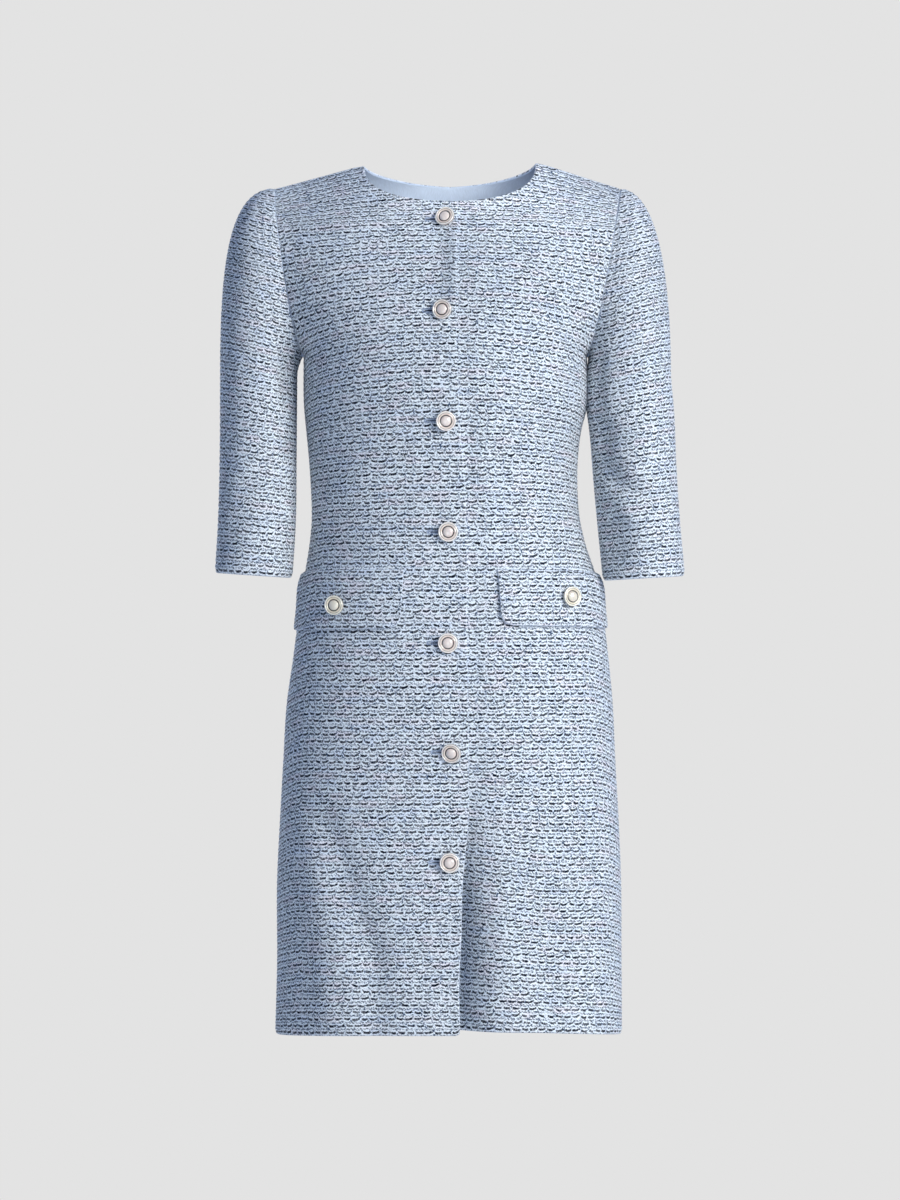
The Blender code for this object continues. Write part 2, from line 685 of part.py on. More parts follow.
def flap_lift(along, up):
    """The gap below a flap: wider at its lower edge and near its upper outer corner."""
    swell = FLAP_SWELL * along ** 2 * np.sin(math.pi * up ** 2)
    return mix(FLAP_LIFT[1], FLAP_LIFT[0], up) + swell


def corner_spread(along):
    """More columns near a flap's ends, where its corners are round."""
    return mix(along, ease(along), FLAP_SPREAD)


def make_facing(cloth):
    """A strip inside the back neck, made of the back's points moved in."""
    mesh = flat_grid(*FACING_GRID, first=-1.0, last=1.0)
    along, up = read_places(mesh)
    meet = neck_row(BACK_NECK)
    away = np.abs(along)
    top_row = mix(meet, FACING_END[1], away)
    low_row = mix(meet - FACING_DEEP, FACING_END[0], away ** 1.5)
    low_across = FACING_WIDE * np.sin(away * math.pi / 2)
    row = mix(low_row, top_row, up)
    across = mix(low_across, 0.0, up)
    places = np.zeros((len(along), 3))
    direction = np.zeros((len(along), 3))
    for side in (-1, 1):
        chosen = along < 0 if side < 0 else along >= 0
        places[chosen], direction[chosen] = back(side, across[chosen], row[chosen])
    places = places - direction * (WALL + FACING_GAP)
    thicken(mesh, places, -direction * FACING_THICK)
    return finish_mesh(mesh, "back_neck_facing", cloth)


def make_button(button, pearl):
    """A turned button on a short shank. Leaning lifts it, so its rim stays clear of the cloth."""
    flap = FLAPS.get(button.on)
    panel_name = button.on
    lift = 0.0
    if flap:
        panel_name = "front_right" if flap.side < 0 else "front_left"
    across, row = locate(panel_name, button.x, button.z)
    if flap:
        first = locate(panel_name, flap.inner_x, flap.top_z)[0]
        along = (across - first) / (flap.outer_share - first)
        up = (button.z - flap.bottom_z) / (flap.top_z - flap.bottom_z)
        lift = float(FLAP_THICK + flap_lift(along, up)[0])
    place, direction = front(panel_name, across, row)
    left, up = math.radians(button.lean_left), math.radians(button.lean_up)
    axis = np.array((math.sin(left) * math.cos(up), -math.cos(left) * math.cos(up), math.sin(up)))
    turned = math.sqrt(max(1 - float(axis @ direction[0]) ** 2, 0.0))
    centre = place[0] + direction[0] * (lift + BUTTON_CLEAR + SHANK_RADIUS * turned)
    mesh = bmesh.new()
    for radius, height in BUTTON_PROFILE:
        mesh.verts.new((radius * MM, 0.0, height * MM))
    mesh.verts.ensure_lookup_table()
    for one, other in zip(mesh.verts[:-1], mesh.verts[1:]):
        mesh.edges.new((one, other))
    bmesh.ops.spin(mesh, geom=mesh.verts[:] + mesh.edges[:], cent=(0, 0, 0), axis=(0, 0, 1),
                   angle=2 * math.pi, steps=BUTTON_SIDES, use_merge=True)
    bmesh.ops.remove_doubles(mesh, verts=mesh.verts[:], dist=0.01 * MM)
    made = finish_mesh(mesh, button.name, pearl)
    side_way = unit(np.cross((0.0, 0.0, 1.0), axis))
    up_way = np.cross(axis, side_way)
    made.rotation_euler = rotation_from(side_way, up_way, axis)
    made.location = [value * MM for value in centre]
    return made


def rotation_from(x_way, y_way, z_way):
    """Euler angles of the turn that carries the axes to three given directions."""
    return (math.atan2(y_way[2], z_way[2]), -math.asin(x_way[2]), math.atan2(x_way[1], x_way[0]))


def main():
    clear_scene()
    cloth = material("knit", CLOTH_BLUE, 0.9)
    plain = material("facing", FACING_BLUE, 0.8)
    pearl = material("pearl", PEARL, 0.25)
    make_front("front_right", cloth)
    make_front("front_left", cloth)
    make_back(cloth)
    make_sleeve("sleeve_right", -1, cloth)
    make_sleeve("sleeve_left", 1, cloth)
    make_facing(plain)
    for name in FLAPS:
        make_flap(name, cloth)
    for button in BUTTONS:
        make_button(button, pearl)


main()
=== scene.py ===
# %% [markdown]
# # A knitted sheath dress
# The dress stands filled out, as worn, with nobody in it. It is knitted in a tweed pattern: pale
# blue and white loops crossed by rows of short navy dashes. Seven pearl buttons close the front and
# two more hold the pocket flaps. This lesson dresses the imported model: each cloth panel becomes a
# fine shell whose own rows of points follow the rows of knitting, so the relief of the knit is real
# geometry, and a material draws the yarns on it. Lengths are millimetres until a point is placed.

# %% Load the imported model
import math
from collections import namedtuple

import bmesh
import bpy
import numpy as np
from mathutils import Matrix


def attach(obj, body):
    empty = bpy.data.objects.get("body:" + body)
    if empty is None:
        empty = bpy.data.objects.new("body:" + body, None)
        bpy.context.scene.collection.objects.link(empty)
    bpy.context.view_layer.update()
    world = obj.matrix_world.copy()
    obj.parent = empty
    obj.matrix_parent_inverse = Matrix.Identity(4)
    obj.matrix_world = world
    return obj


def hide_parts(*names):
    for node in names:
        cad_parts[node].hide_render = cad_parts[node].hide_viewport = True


MM = 0.001
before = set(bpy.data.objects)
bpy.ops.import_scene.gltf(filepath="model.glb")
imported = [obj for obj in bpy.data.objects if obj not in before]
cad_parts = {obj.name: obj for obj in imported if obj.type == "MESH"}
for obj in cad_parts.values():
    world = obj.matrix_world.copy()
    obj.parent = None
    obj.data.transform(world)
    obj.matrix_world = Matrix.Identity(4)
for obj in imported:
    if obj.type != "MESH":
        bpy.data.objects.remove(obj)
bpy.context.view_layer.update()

# %% [markdown]
# ## Camera
# The photograph looks straight at the dress from far away, level with its middle, so the sides stay
# parallel. One pixel of it is 1.05 mm at the dress. A long lens at six metres gives that view. The
# sensor's width lies along the longer side of an upright picture.

# %% Camera
MM_A_PIXEL = 1.05
PHOTO_HEIGHT = 1200          # pixels
SHOULDER_PIXEL = 165         # the picture row of the origin, between the two shoulder points
CAMERA_AWAY = 6000.0
SENSOR = 36.0

middle_z = (SHOULDER_PIXEL - PHOTO_HEIGHT / 2) * MM_A_PIXEL
lens = SENSOR * CAMERA_AWAY / (PHOTO_HEIGHT * MM_A_PIXEL)
camera = bpy.data.objects.new("camera", bpy.data.cameras.new("camera"))
camera.data.sensor_width = SENSOR
camera.data.lens = lens
camera.data.clip_end = 50.0
camera.location = (0.0, -CAMERA_AWAY * MM, middle_z * MM)
camera.rotation_euler = (math.pi / 2, 0.0, 0.0)
bpy.context.collection.objects.link(camera)
bpy.context.scene.camera = camera
print("lens", round(lens, 1), "mm, aimed at z =", round(middle_z, 1), "mm")

# %% [markdown]
# ## Light, background and floor
# The light is a large soft box in front and to the right, so the left of the bodice and the inner
# side of the right-hand sleeve fall into a soft bluish shade. A weak fill stands low in front, a
# second one behind for the other views, and a narrow spot lights the facing in the neck. The camera
# sees a plain pale grey world, while the world that lights the cloth is dimmer. The floor is a pale
# disc far below the hem that fades out to the background, and the front view looks over it.

# %% Small helpers for shader nodes
def srgb(red, green, blue):
    """An 8-bit screen colour as Blender's linear one."""
    def linear(value):
        value /= 255
        return value / 12.92 if value <= 0.04045 else ((value + 0.055) / 1.055) ** 2.4
    return (linear(red), linear(green), linear(blue), 1.0)


class Number:
    """A shader node's output, used like a plain number: each sum of it adds a node."""
    def __init__(self, tree, socket):
        self.tree, self.socket = tree, socket

    def __add__(self, other):
        return maths("ADD", self, other)

    def __sub__(self, other):
        return maths("SUBTRACT", self, other)

    def __rsub__(self, other):
        return maths("SUBTRACT", other, self)

    def __mul__(self, other):
        return maths("MULTIPLY", self, other)

    def __truediv__(self, other):
        return maths("DIVIDE", self, other)

    def __abs__(self):
        return maths("ABSOLUTE", self)

    def step(self, start, end, low=0.0, high=1.0):
        """low before start, high after end, with a smooth change between them."""
        return read(self.tree, "ShaderNodeMapRange", 0, {0: self, 1: start, 2: end, 3: low, 4: high},
                    interpolation_type="SMOOTHSTEP")


def node(tree, kind, inputs=None, **settings):
    """Add a node with settings, and link or set its inputs."""
    made = tree.nodes.new(kind)
    for name, value in settings.items():
        setattr(made, name, value)
    for socket, value in (inputs or {}).items():
        if isinstance(value, Number):
            tree.links.new(value.socket, made.inputs[socket])
        else:
            made.inputs[socket].default_value = value
    return made


def read(tree, kind, output, inputs=None, **settings):
    """Add a node, and read one of its outputs."""
    return Number(tree, node(tree, kind, inputs, **settings).outputs[output])


def maths(operation, *values):
    """A sum of shader numbers and plain ones."""
    tree = next(value.tree for value in values if isinstance(value, Number))
    return read(tree, "ShaderNodeMath", 0, dict(enumerate(values)), operation=operation)


def parts(kind, whole):
    """The three numbers in a place ("XYZ") or a colour ("Color")."""
    made = node(whole.tree, "ShaderNodeSeparate" + kind, {0: whole})
    return [Number(whole.tree, socket) for socket in made.outputs]


def blend_colour(tree, factor, first, second, way="MIX"):
    return read(tree, "ShaderNodeMix", 2, {0: factor, 6: first, 7: second}, data_type="RGBA",
                blend_type=way)


def new_material(name, **sockets):
    """A Principled material with the numbers that are the same all over its surface."""
    made = bpy.data.materials.new(name)
    made.use_nodes = True
    shader = made.node_tree.nodes["Principled BSDF"]
    for socket, value in sockets.items():
        shader.inputs[socket.replace("_", " ")].default_value = value
    return made, made.node_tree, shader


def link_all(tree, shader, colour=None, height=None, strength=1.0, distance=MM, alpha=None):
    """Link a material's colour, its bumps and its alpha, where they vary."""
    normal = None
    if height is not None:
        normal = read(tree, "ShaderNodeBump", 0,
                      {"Height": height, "Strength": strength, "Distance": distance})
    for socket, value in (("Base Color", colour), ("Normal", normal), ("Alpha", alpha)):
        if value is not None:
            tree.links.new(value.socket, shader.inputs[socket])


def noise_on(tree, scale, detail=2.0):
    """Noise that is fixed to its object."""
    spot = read(tree, "ShaderNodeTexCoord", "Object")
    return read(tree, "ShaderNodeTexNoise", 0, {"Vector": spot, "Scale": scale, "Detail": detail})


# %% World and lights
BACKGROUND_GREY = srgb(227, 227, 227)
SHADE_LIGHT = (0.52, 0.67, 1.0, 1.0)
SHADE_STRENGTH = (0.48, 0.57)   # from the left of the room to the right
STRIP_X = -0.42                 # the air is dark in a strip here, in front and to the left
STRIP_HALF = (0.1, 0.24)        # and the strip fades out between these distances from its middle

world = bpy.data.worlds.new("studio")
world.use_nodes = True
bpy.context.scene.world = world
air = world.node_tree
air.nodes.clear()
x, y, _ = parts("XYZ", read(air, "ShaderNodeTexCoord", "Generated"))
dark_strip = abs(x - STRIP_X).step(*STRIP_HALF, 1.0, 0.0) * y.step(-0.2, -0.5)
room = x.step(-0.8, 0.9, *SHADE_STRENGTH) * (1.0 - dark_strip)
seen = read(air, "ShaderNodeBackground", 0, {"Color": BACKGROUND_GREY, "Strength": 1.0})
lit_by = read(air, "ShaderNodeBackground", 0, {"Color": SHADE_LIGHT, "Strength": room})
to_camera = read(air, "ShaderNodeLightPath", "Is Camera Ray")
both = read(air, "ShaderNodeMixShader", 0, {0: to_camera, 1: lit_by, 2: seen})
node(air, "ShaderNodeOutputWorld", {"Surface": both})

WARM_WHITE, COOL_WHITE = (1.0, 0.99, 0.95), (0.88, 0.94, 1.0)
SoftBox = namedtuple("SoftBox", "name place aim size watts colour")
SOFT_BOXES = (
    SoftBox("window", (2.65, -3.0, 0.75), (0.0, 0.0, -0.45), 1.9, 148.0, WARM_WHITE),
    SoftBox("back_fill", (-1.6, 4.2, 0.9), (0.0, 0.0, -0.45), 2.4, 80.0, WARM_WHITE),
    SoftBox("front_fill", (-0.8, -4.2, -1.5), (0.0, 0.0, -0.75), 2.4, 25.0, COOL_WHITE),
)
NECK_SPOT_WATTS = 31.0       # a narrow spot over the front neckline, for the pale facing inside
NECK_SPOT_DEGREES = 11.0


def add_lamp(name, kind, watts, place, target, **settings):
    """A lamp with its settings, turned to its target."""
    lamp = bpy.data.lights.new(name, kind)
    lamp.energy = watts
    for setting, value in settings.items():
        setattr(lamp, setting, value)
    holder = bpy.data.objects.new(name, lamp)
    holder.location = place
    way = [end - start for start, end in zip(place, target)]
    flat = math.hypot(way[0], way[1])
    holder.rotation_euler = (math.atan2(flat, -way[2]), 0.0, math.atan2(-way[0], way[1]))
    bpy.context.collection.objects.link(holder)


for box in SOFT_BOXES:
    add_lamp(box.name, "AREA", box.watts, box.place, box.aim, size=box.size, color=box.colour)
add_lamp("neck_spot", "SPOT", NECK_SPOT_WATTS, (0.1, -1.2, 0.42), (0.028, 0.045, -0.006),
         spot_size=math.radians(NECK_SPOT_DEGREES), spot_blend=1.0, shadow_soft_size=0.05)
bpy.context.scene.view_settings.view_transform = "Standard"
print("lights:", [box.name for box in SOFT_BOXES])

# %% Floor
FLOOR_Z = -1420.0
FLOOR_RADIUS = 2700.0
FLOOR_FADE = (0.35, 0.97)    # it fades out between these shares of its radius

paint, tree, shader = new_material("floor_paint", Roughness=0.85)
shader.inputs["Base Color"].default_value = srgb(222, 222, 222)
x, y, _ = parts("XYZ", read(tree, "ShaderNodeTexCoord", "Object"))
away = maths("SQRT", x * x + y * y)
fade = away.step(*(share * FLOOR_RADIUS * MM for share in FLOOR_FADE), 1.0, 0.0)
link_all(tree, shader, height=noise_on(tree, 320.0), strength=0.1, alpha=fade)

disc = bmesh.new()
bmesh.ops.create_circle(disc, cap_ends=True, segments=96, radius=FLOOR_RADIUS * MM)
bmesh.ops.translate(disc, verts=disc.verts[:], vec=(0.0, 0.0, FLOOR_Z * MM))
floor_mesh = bpy.data.meshes.new("floor")
disc.to_mesh(floor_mesh)
disc.free()
floor = bpy.data.objects.new("floor", floor_mesh)
floor.data.materials.append(paint)
bpy.context.collection.objects.link(floor)

# %% [markdown]
# ## The dress's form
# The cloth is cut to four kinds of panel. Each is one smooth surface, worked out as the solids are:
# a row runs from the panel's centre edge to its side seam or armhole as a cubic curve, and short
# tables give the outline from the front, the depth from the side, the placket and the vent. These
# sizes are the same as in the part's own source.

# %% Sizes and tables of the form
WALL = 2.4
SEAM_GAP = 0.1
LAP_GAP = 1.2
UNDERARM_Z = -200.0
HEM_SIDE_Z = -912.0
ROW_A_MM = 1 / (UNDERARM_Z - HEM_SIDE_Z)   # a panel's row goes from 0 to 1 between those two
NECK_HALF = 90.0
NECK_RISE = 3.2              # the wearer's left shoulder point stands this much higher
SHOULDER_DROP = 25.0
ARMHOLE_DEEP = 70.0
ARMHOLE_HIGH_Z = -31.0
SEAM_LEAN = 0.35
MITRE = 1.1
NECK_POINT = (1.2, 6.5)      # how far the neck's end of the shoulder seam is rounded, and how wide

Neck = namedtuple("Neck", "drop depth drop_power depth_power")
FRONT_NECK = Neck(43.0, 75.0, 2.4, 3.0)
BACK_NECK = Neck(19.5, 50.0, 1.5, 2.6)


def table(columns, *rows):
    """Rows of numbers, with a name for each column."""
    kind = namedtuple("Row", columns)
    return tuple(kind(*row) for row in rows)


# The side seams, from hem to underarm: distance from the centre to the wearer's right and left.
SIDES = table(
    "z right left",
    (-912, 183.5, 180.5), (-835, 181.5, 180.0), (-750, 181.5, 179.5), (-688, 178.5, 177.0),
    (-625, 175.0, 173.5), (-562, 171.0, 170.5), (-520, 165.0, 166.5), (-478, 159.5, 161.5),
    (-436, 153.5, 154.5), (-394, 147.0, 141.0), (-373, 145.0, 136.5), (-341, 146.0, 133.8),
    (-310, 148.0, 134.2), (-278, 151.0, 138.0), (-257, 153.0, 143.3), (-200, 153.7, 143.9),
)

# The middle of the front and of the back, seen from the side, and how square each level is.
PROFILE = table(
    "z front back flat corner",
    (-912, 122, 100, 0.66, 0.60), (-800, 121, 101, 0.66, 0.60), (-700, 120, 102, 0.66, 0.60),
    (-600, 119, 108, 0.64, 0.58), (-540, 117, 107, 0.62, 0.57), (-460, 110, 92, 0.60, 0.56),
    (-400, 103, 78, 0.60, 0.55), (-350, 101, 72, 0.60, 0.55), (-300, 108, 77, 0.61, 0.55),
    (-225, 121, 88, 0.64, 0.55), (-170, 115, 90, 0.62, 0.55), (-100, 95, 82, 0.58, 0.50),
    (-60, 81, 67, 0.55, 0.45), (-43, 75, 59, 0.55, 0.45), (-19.5, 66, 50, 0.55, 0.45),
)

# The placket's edge down the front, and how far the left front runs on below it.
PLACKET_EDGE = table(
    "z x",
    (-907, 10.5), (-850, 9.5), (-811, 11.5), (-743, 13.5), (-713, 16.5), (-678, 19.6),
    (-631, 19.6), (-486, 17.5), (-359, 16.5), (-271, 10.3), (-158, 6.2), (-43, 8.0),
)
UNDERLAP = table("z x", (-912, 17.0), (-400, 17.0), (-90, 16.0), (-43, 6.0))

# The vent: below the last button the left front falls back behind the placket.
VENT_STEEPER = 1.9           # right at the edge the cloth dives a little deeper than the solid does
VENT_SHARP = 2.4             # and this much faster
VENT = table(
    "z depth reach crease",
    (-912, 15, 62, 1.0), (-850, 17, 64, 1.0), (-790, 13, 58, 1.0), (-735, 6, 46, 1.0),
    (-680, 2, 34, 0.6), (-640, 0.6, 28, 0.2), (-560, 0, 26, 0.0), (-43, 0, 26, 0.0),
)

# side is -1 on the wearer's right and +1 on the wearer's left.
Front = namedtuple("Front", "side hem_z laps_over")
FRONTS = {"front_right": Front(-1, -905.5, True), "front_left": Front(1, -902.0, False)}
BACK_HEM_Z = -911.0

Armhole = namedtuple("Armhole", "underarm low high shoulder cap_out cap_rise cap_fall")
ARMHOLES = {
    -1: Armhole(153.7, 162.0, 188.0, 182.5, 54.0, 4.0, 98.0),
    1: Armhole(143.9, 151.0, 179.0, 178.5, 43.0, -1.5, 90.0),
}

# The sleeves' rings: inner and outer side, seen from the front, then middle and depth.
RING_COLUMNS = "z inner outer middle depth"
SLEEVES = {
    -1: table(RING_COLUMNS, (-431, 165.0, 246.2, -17, 46), (-375, 161.7, 243.2, -10, 49),
              (-300, 160.9, 241.6, -4, 52), (-222, 160.3, 241.4, 0, 55)),
    1: table(RING_COLUMNS, (-434, 160.2, 246.0, -17, 46), (-375, 154.4, 241.0, -10, 49),
             (-315, 149.2, 237.4, -5, 52), (-262, 146.4, 235.4, -2, 54), (-222, 145.1, 232.0, 0, 55)),
}
CapUnderarm = namedtuple("CapUnderarm", "cap_out cap_rise cap_fall")
CAP_UNDERARM = CapUnderarm(3.0, -6.0, 8.0)
CAP_FORWARD = 9.0
CUFF_TILT = 2.6
CAP_ROWS = 0.42

# Here a sleeve swells inwards until it rests on the body.
Touch = namedtuple("Touch", "size z reach")
TOUCHES = {-1: Touch(0.0, -240.0, 34.0), 1: Touch(4.2, -238.0, 34.0)}

# %% [markdown]
# ## Folds
# A filled-out knit has few folds, all soft: a hollow across the waist, long troughs that fall from
# the hips, a fold at each elbow, and short creases at the armholes. Each is a line on its piece
# with a half width and a height, and the surface swells or sinks round it. The large ones are in
# the solids too, and the smaller ones are only here.

# %% Table of folds
FOLD_COLUMNS = "start end width height"
FOLDS = {
    "front_right": table(
        FOLD_COLUMNS,
        ((9, -86), (8, -136), 14, 7.2), ((8, -190), (10, -236), 15, 1.5),
        ((-128, -695), (-84, -815), 17, -4.8), ((-142, -715), (-124, -880), 20, 3.5),
        ((-80, -830), (-76, -912), 16, -4.0), ((-154, -820), (-158, -912), 20, -3.0),
        ((-120, -395), (-60, -360), 22, -2.5), ((-150, -372), (-95, -330), 18, 2.5)),
    "front_left": table(
        FOLD_COLUMNS,
        ((120, -350), (58, -385), 22, -2.5), ((132, -300), (90, -262), 20, -3.0),
        ((104, -760), (92, -912), 30, -4.0), ((150, -720), (148, -912), 24, 3.0)),
    "back": table(
        FOLD_COLUMNS,
        ((-70, -345), (70, -350), 15, -5.0), ((-95, -318), (-20, -312), 14, 3.0),
        ((20, -312), (95, -318), 14, 3.0), ((-96, -650), (-84, -912), 26, -6.0),
        ((88, -620), (100, -912), 28, -6.0), ((2, -700), (-4, -912), 34, 4.0)),
    "sleeve_left": table(
        FOLD_COLUMNS,
        ((30, -318), (112, -356), 11, -5.0), ((40, -345), (100, -385), 12, 3.0),
        ((40, -278), (100, -300), 11, -2.5), ((225, -300), (320, -330), 12, -3.5),
        ((44, -212), (36, -300), 10, -5.5), ((44, -305), (50, -440), 22, -6.5)),
    "sleeve_right": table(
        FOLD_COLUMNS,
        ((56, -120), (40, -235), 13, -6.0), ((35, -300), (105, -335), 12, -3.5),
        ((45, -350), (120, -372), 12, -2.5), ((225, -310), (320, -335), 12, -3.5)),
}
FOLD_END = 1.3               # a fold dies out past its ends over this many of its half widths
SLEEVE_ARC = 0.85            # millimetres a degree round a sleeve, for the folds' lines
PANEL_FADE = (0.16, 0.3)
SLEEVE_FADE = (0.4, 0.08)


# %% Small tools for surfaces
SMALL = 1e-3                 # a short step on a surface


def column_of(rows, name):
    """One column of a table."""
    return np.array([getattr(row, name) for row in rows], dtype=float)


def straight(rows, name, z):
    """Read a column at heights z along straight lines between the table's rows."""
    return np.interp(z, column_of(rows, "z"), column_of(rows, name))


def smooth(rows, name, z):
    """Read a column at heights z from a smooth curve through the table's rows."""
    heights, values = column_of(rows, "z"), column_of(rows, name)
    slopes = np.gradient(values, heights)
    z = np.clip(z, heights[0], heights[-1])
    low = np.clip(np.searchsorted(heights, z) - 1, 0, len(heights) - 2)
    step = heights[low + 1] - heights[low]
    t = (z - heights[low]) / step
    return ((1 + 2 * t) * (1 - t) ** 2 * values[low] + t * (1 - t) ** 2 * step * slopes[low]
            + t * t * (3 - 2 * t) * values[low + 1] - t * t * (1 - t) * step * slopes[low + 1])


def ease(t):
    """0 to 1 with a soft start and a soft end."""
    t = np.clip(t, 0, 1)
    return t * t * (3 - 2 * t)


def mix(a, b, t):
    return a + (b - a) * t


def round_off(radius, distance):
    """How far a rounded corner falls short at a distance from its end."""
    short = np.clip(radius - distance, 0, radius)
    return radius - np.sqrt(radius ** 2 - short ** 2)


def points(x, y, z):
    """Three arrays or numbers as one array of points."""
    return np.stack(np.broadcast_arrays(np.asarray(x, float), y, z), axis=-1)


def unit(vectors):
    return vectors / np.maximum(np.linalg.norm(vectors, axis=-1, keepdims=True), 1e-9)


def bezier(start, leave, arrive, end, t):
    """A cubic curve at t, one curve for each point."""
    t = np.asarray(t)[..., None]
    return ((1 - t) ** 3 * start + 3 * (1 - t) ** 2 * t * leave
            + 3 * (1 - t) * t ** 2 * arrive + t ** 3 * end)


def fold_height(piece, a, b, unit_a=1.0):
    """How far the folds of a piece stand out at the places (a, b)."""
    total = np.zeros_like(a)
    for fold in FOLDS[piece]:
        start = np.array(fold.start) * (unit_a, 1.0)
        along = np.array(fold.end) * (unit_a, 1.0) - start
        length = np.hypot(*along)
        da, db = a * unit_a - start[0], b - start[1]
        t = (da * along[0] + db * along[1]) / length
        off = (da * along[1] - db * along[0]) / length
        beyond = np.maximum(np.maximum(-t, t - length), 0)
        fall = (off / fold.width) ** 2 + (beyond / (FOLD_END * fold.width)) ** 2
        total += fold.height * np.exp(-fall)
    return total


# %% The neck, the armholes and the rows between them
def neckline(neck, angle, face):
    """The neckline at an angle from the centre: 0 is the middle, 90 degrees the shoulder seam."""
    out = np.sin(angle)
    def curve(power):
        return np.clip(1 - np.abs(out) ** power, 0, 1) ** (1 / power)
    return points(NECK_HALF * out, face * neck.depth * curve(neck.depth_power),
                  -neck.drop * curve(neck.drop_power))


def armhole(side, face, t):
    """The armhole's edge, from the underarm at t = 0 to the shoulder seam at t = 1."""
    hole = ARMHOLES[side]
    return bezier(np.array((side * hole.underarm, 0.0, UNDERARM_Z)),
                  np.array((side * hole.low, face * ARMHOLE_DEEP, UNDERARM_Z)),
                  np.array((side * hole.high, face * ARMHOLE_DEEP, ARMHOLE_HIGH_Z)),
                  np.array((side * hole.shoulder, 0.0, -SHOULDER_DROP)), t)


def armhole_allowance(side, edge):
    """From the outer to the inner edge of the cloth along the armhole seam."""
    middle_z = (UNDERARM_Z - SHOULDER_DROP) / 2
    inward = unit(points(0 * edge[..., 0], -edge[..., 1], middle_z - edge[..., 2]))
    inward[..., 0] = -side * SEAM_LEAN
    return unit(inward) * WALL * MITRE


def side_line(side, face, row):
    """The outer end of each row: the side seam, then the armhole."""
    z = mix(HEM_SIDE_Z, UNDERARM_Z, np.clip(row, 0, 1))
    x = side * smooth(SIDES, "right" if side < 0 else "left", z)
    seam = points(x, 0.0, z)
    hole = armhole(side, face, np.clip(row - 1, 0, 1))
    return np.where((row > 1)[..., None], hole, seam)


def neck_row(neck):
    """The row that meets the neckline in the middle."""
    upright = -neck.drop - UNDERARM_Z
    return 1 + upright / (upright + math.hypot(neck.depth, NECK_HALF))


def centre_line(side, face, row, hem_z, neck):
    """The inner end of each row: straight up the middle, then along the neckline."""
    meet = neck_row(neck)
    share = np.clip((row - meet) / (2 - meet), 0, 1)
    z_low = mix(hem_z, UNDERARM_Z, np.clip(row, 0, 1))
    z_high = mix(UNDERARM_Z, -neck.drop, np.clip((row - 1) / (meet - 1), 0, 1))
    z = np.where(row > 1, z_high, z_low)
    depth = smooth(PROFILE, "front" if face < 0 else "back", z)
    edge = points(0.0, face * depth, z)
    curve = neckline(neck, share * math.pi / 2, face) * (side, 1, 1)
    curve[..., 2] += NECK_RISE * max(side, 0) * share ** 3
    return np.where((row > meet)[..., None], curve, edge)


def past_middle(lap, flat, span, row, z, meet):
    """Where a row starts so that its panel laps past the middle: a step back along its own curve."""
    wanted = lap(z) / span
    start = wanted / (3 * flat)
    for _ in range(4):
        reached = 3 * start * ((1 + start) ** 2 * flat - (1 + start) * start) + start ** 3
        start = start * np.where(wanted > 0, wanted / np.maximum(reached, 1e-6), 0)
    return start * np.clip((2 - row) / (2 - meet), 0, 1) ** 4


def panel(side, face, lap, hem_z, neck, across, row):
    """Outer points of a panel at across (0 centre, 1 side) and row (0 hem, 1 underarm, 2 shoulder)."""
    inner = centre_line(side, face, row, hem_z, neck)
    outer = side_line(side, face, row)
    meet = neck_row(neck)
    z_level = np.where(row > 1, UNDERARM_Z, inner[..., 2])
    chest = np.clip(row - 1, 0, 1)
    turn = math.pi / 2 * (1 - chest) ** 1.3
    straight = ease((row - meet) / (2 - meet))
    flat = mix(smooth(PROFILE, "flat", z_level), 1 / 3, chest ** 1.5)
    corner = mix(1 / 3, smooth(PROFILE, "corner", z_level), np.sin(turn) ** 3)
    step = outer - inner
    span, deep, rise = np.abs(step[..., 0]), np.abs(step[..., 1]), step[..., 2]
    leave = inner + points(side * flat * span, flat * straight * step[..., 1], flat * straight * rise)
    reach = corner * (deep * np.sin(turn) + span * np.cos(turn))
    arrive = outer - points(side * reach * np.cos(turn), -face * reach * np.sin(turn), rise / 3)
    start = past_middle(lap, flat, span, row, inner[..., 2], meet)
    return bezier(inner, leave, arrive, outer, mix(-start, 1.0, across))


def lap_over(z):
    return smooth(PLACKET_EDGE, "x", z)


def lap_under(z):
    return smooth(UNDERLAP, "x", z)


def no_lap(z):
    return 0 * np.asarray(z, float)


def normal_of(surface, a, b, hold_a, hold_b):
    """The direction square to a surface, from two short steps on it that are held to its range."""
    by_a = surface(hold_a(a + SMALL), b) - surface(hold_a(a - SMALL), b)
    by_b = surface(a, hold_b(b + SMALL)) - surface(a, hold_b(b - SMALL))
    return unit(np.cross(by_a, by_b))


def outward(normal, place):
    """Turn normals away from a point well inside the body, level with or below each place."""
    inside = place * (0.6, 0.0, 1.0) - np.array((0.0, 0.0, 50.0))
    flip = np.sum(normal * (place - inside), axis=-1) < 0
    return np.where(flip[..., None], -normal, normal)


def round_neck_point(place):
    """The seam's end at the neck is worn round, not a sharp point."""
    gap = np.hypot(np.abs(place[..., 0]) - NECK_HALF, place[..., 1])
    place[..., 2] -= NECK_POINT[0] * np.exp(-(gap / NECK_POINT[1]) ** 2)
    return place


def panel_fade(across, row):
    """Folds die out towards the side seam, the armhole and the shoulder seam."""
    return ease((1 - across) / PANEL_FADE[0]) * ease((2 - row) / PANEL_FADE[1])


def folded_panel(name, plain, across, row):
    """Points of a panel without and with its folds, and outward directions."""
    place = plain(across, row)
    direction = outward(normal_of(plain, across, row, lambda a: np.clip(a, 0, 1),
                                  lambda r: np.clip(r, 0, 2)), place)
    height = fold_height(name, place[..., 0], place[..., 2]) * panel_fade(across, row)
    return place, place + direction * height[..., None], direction


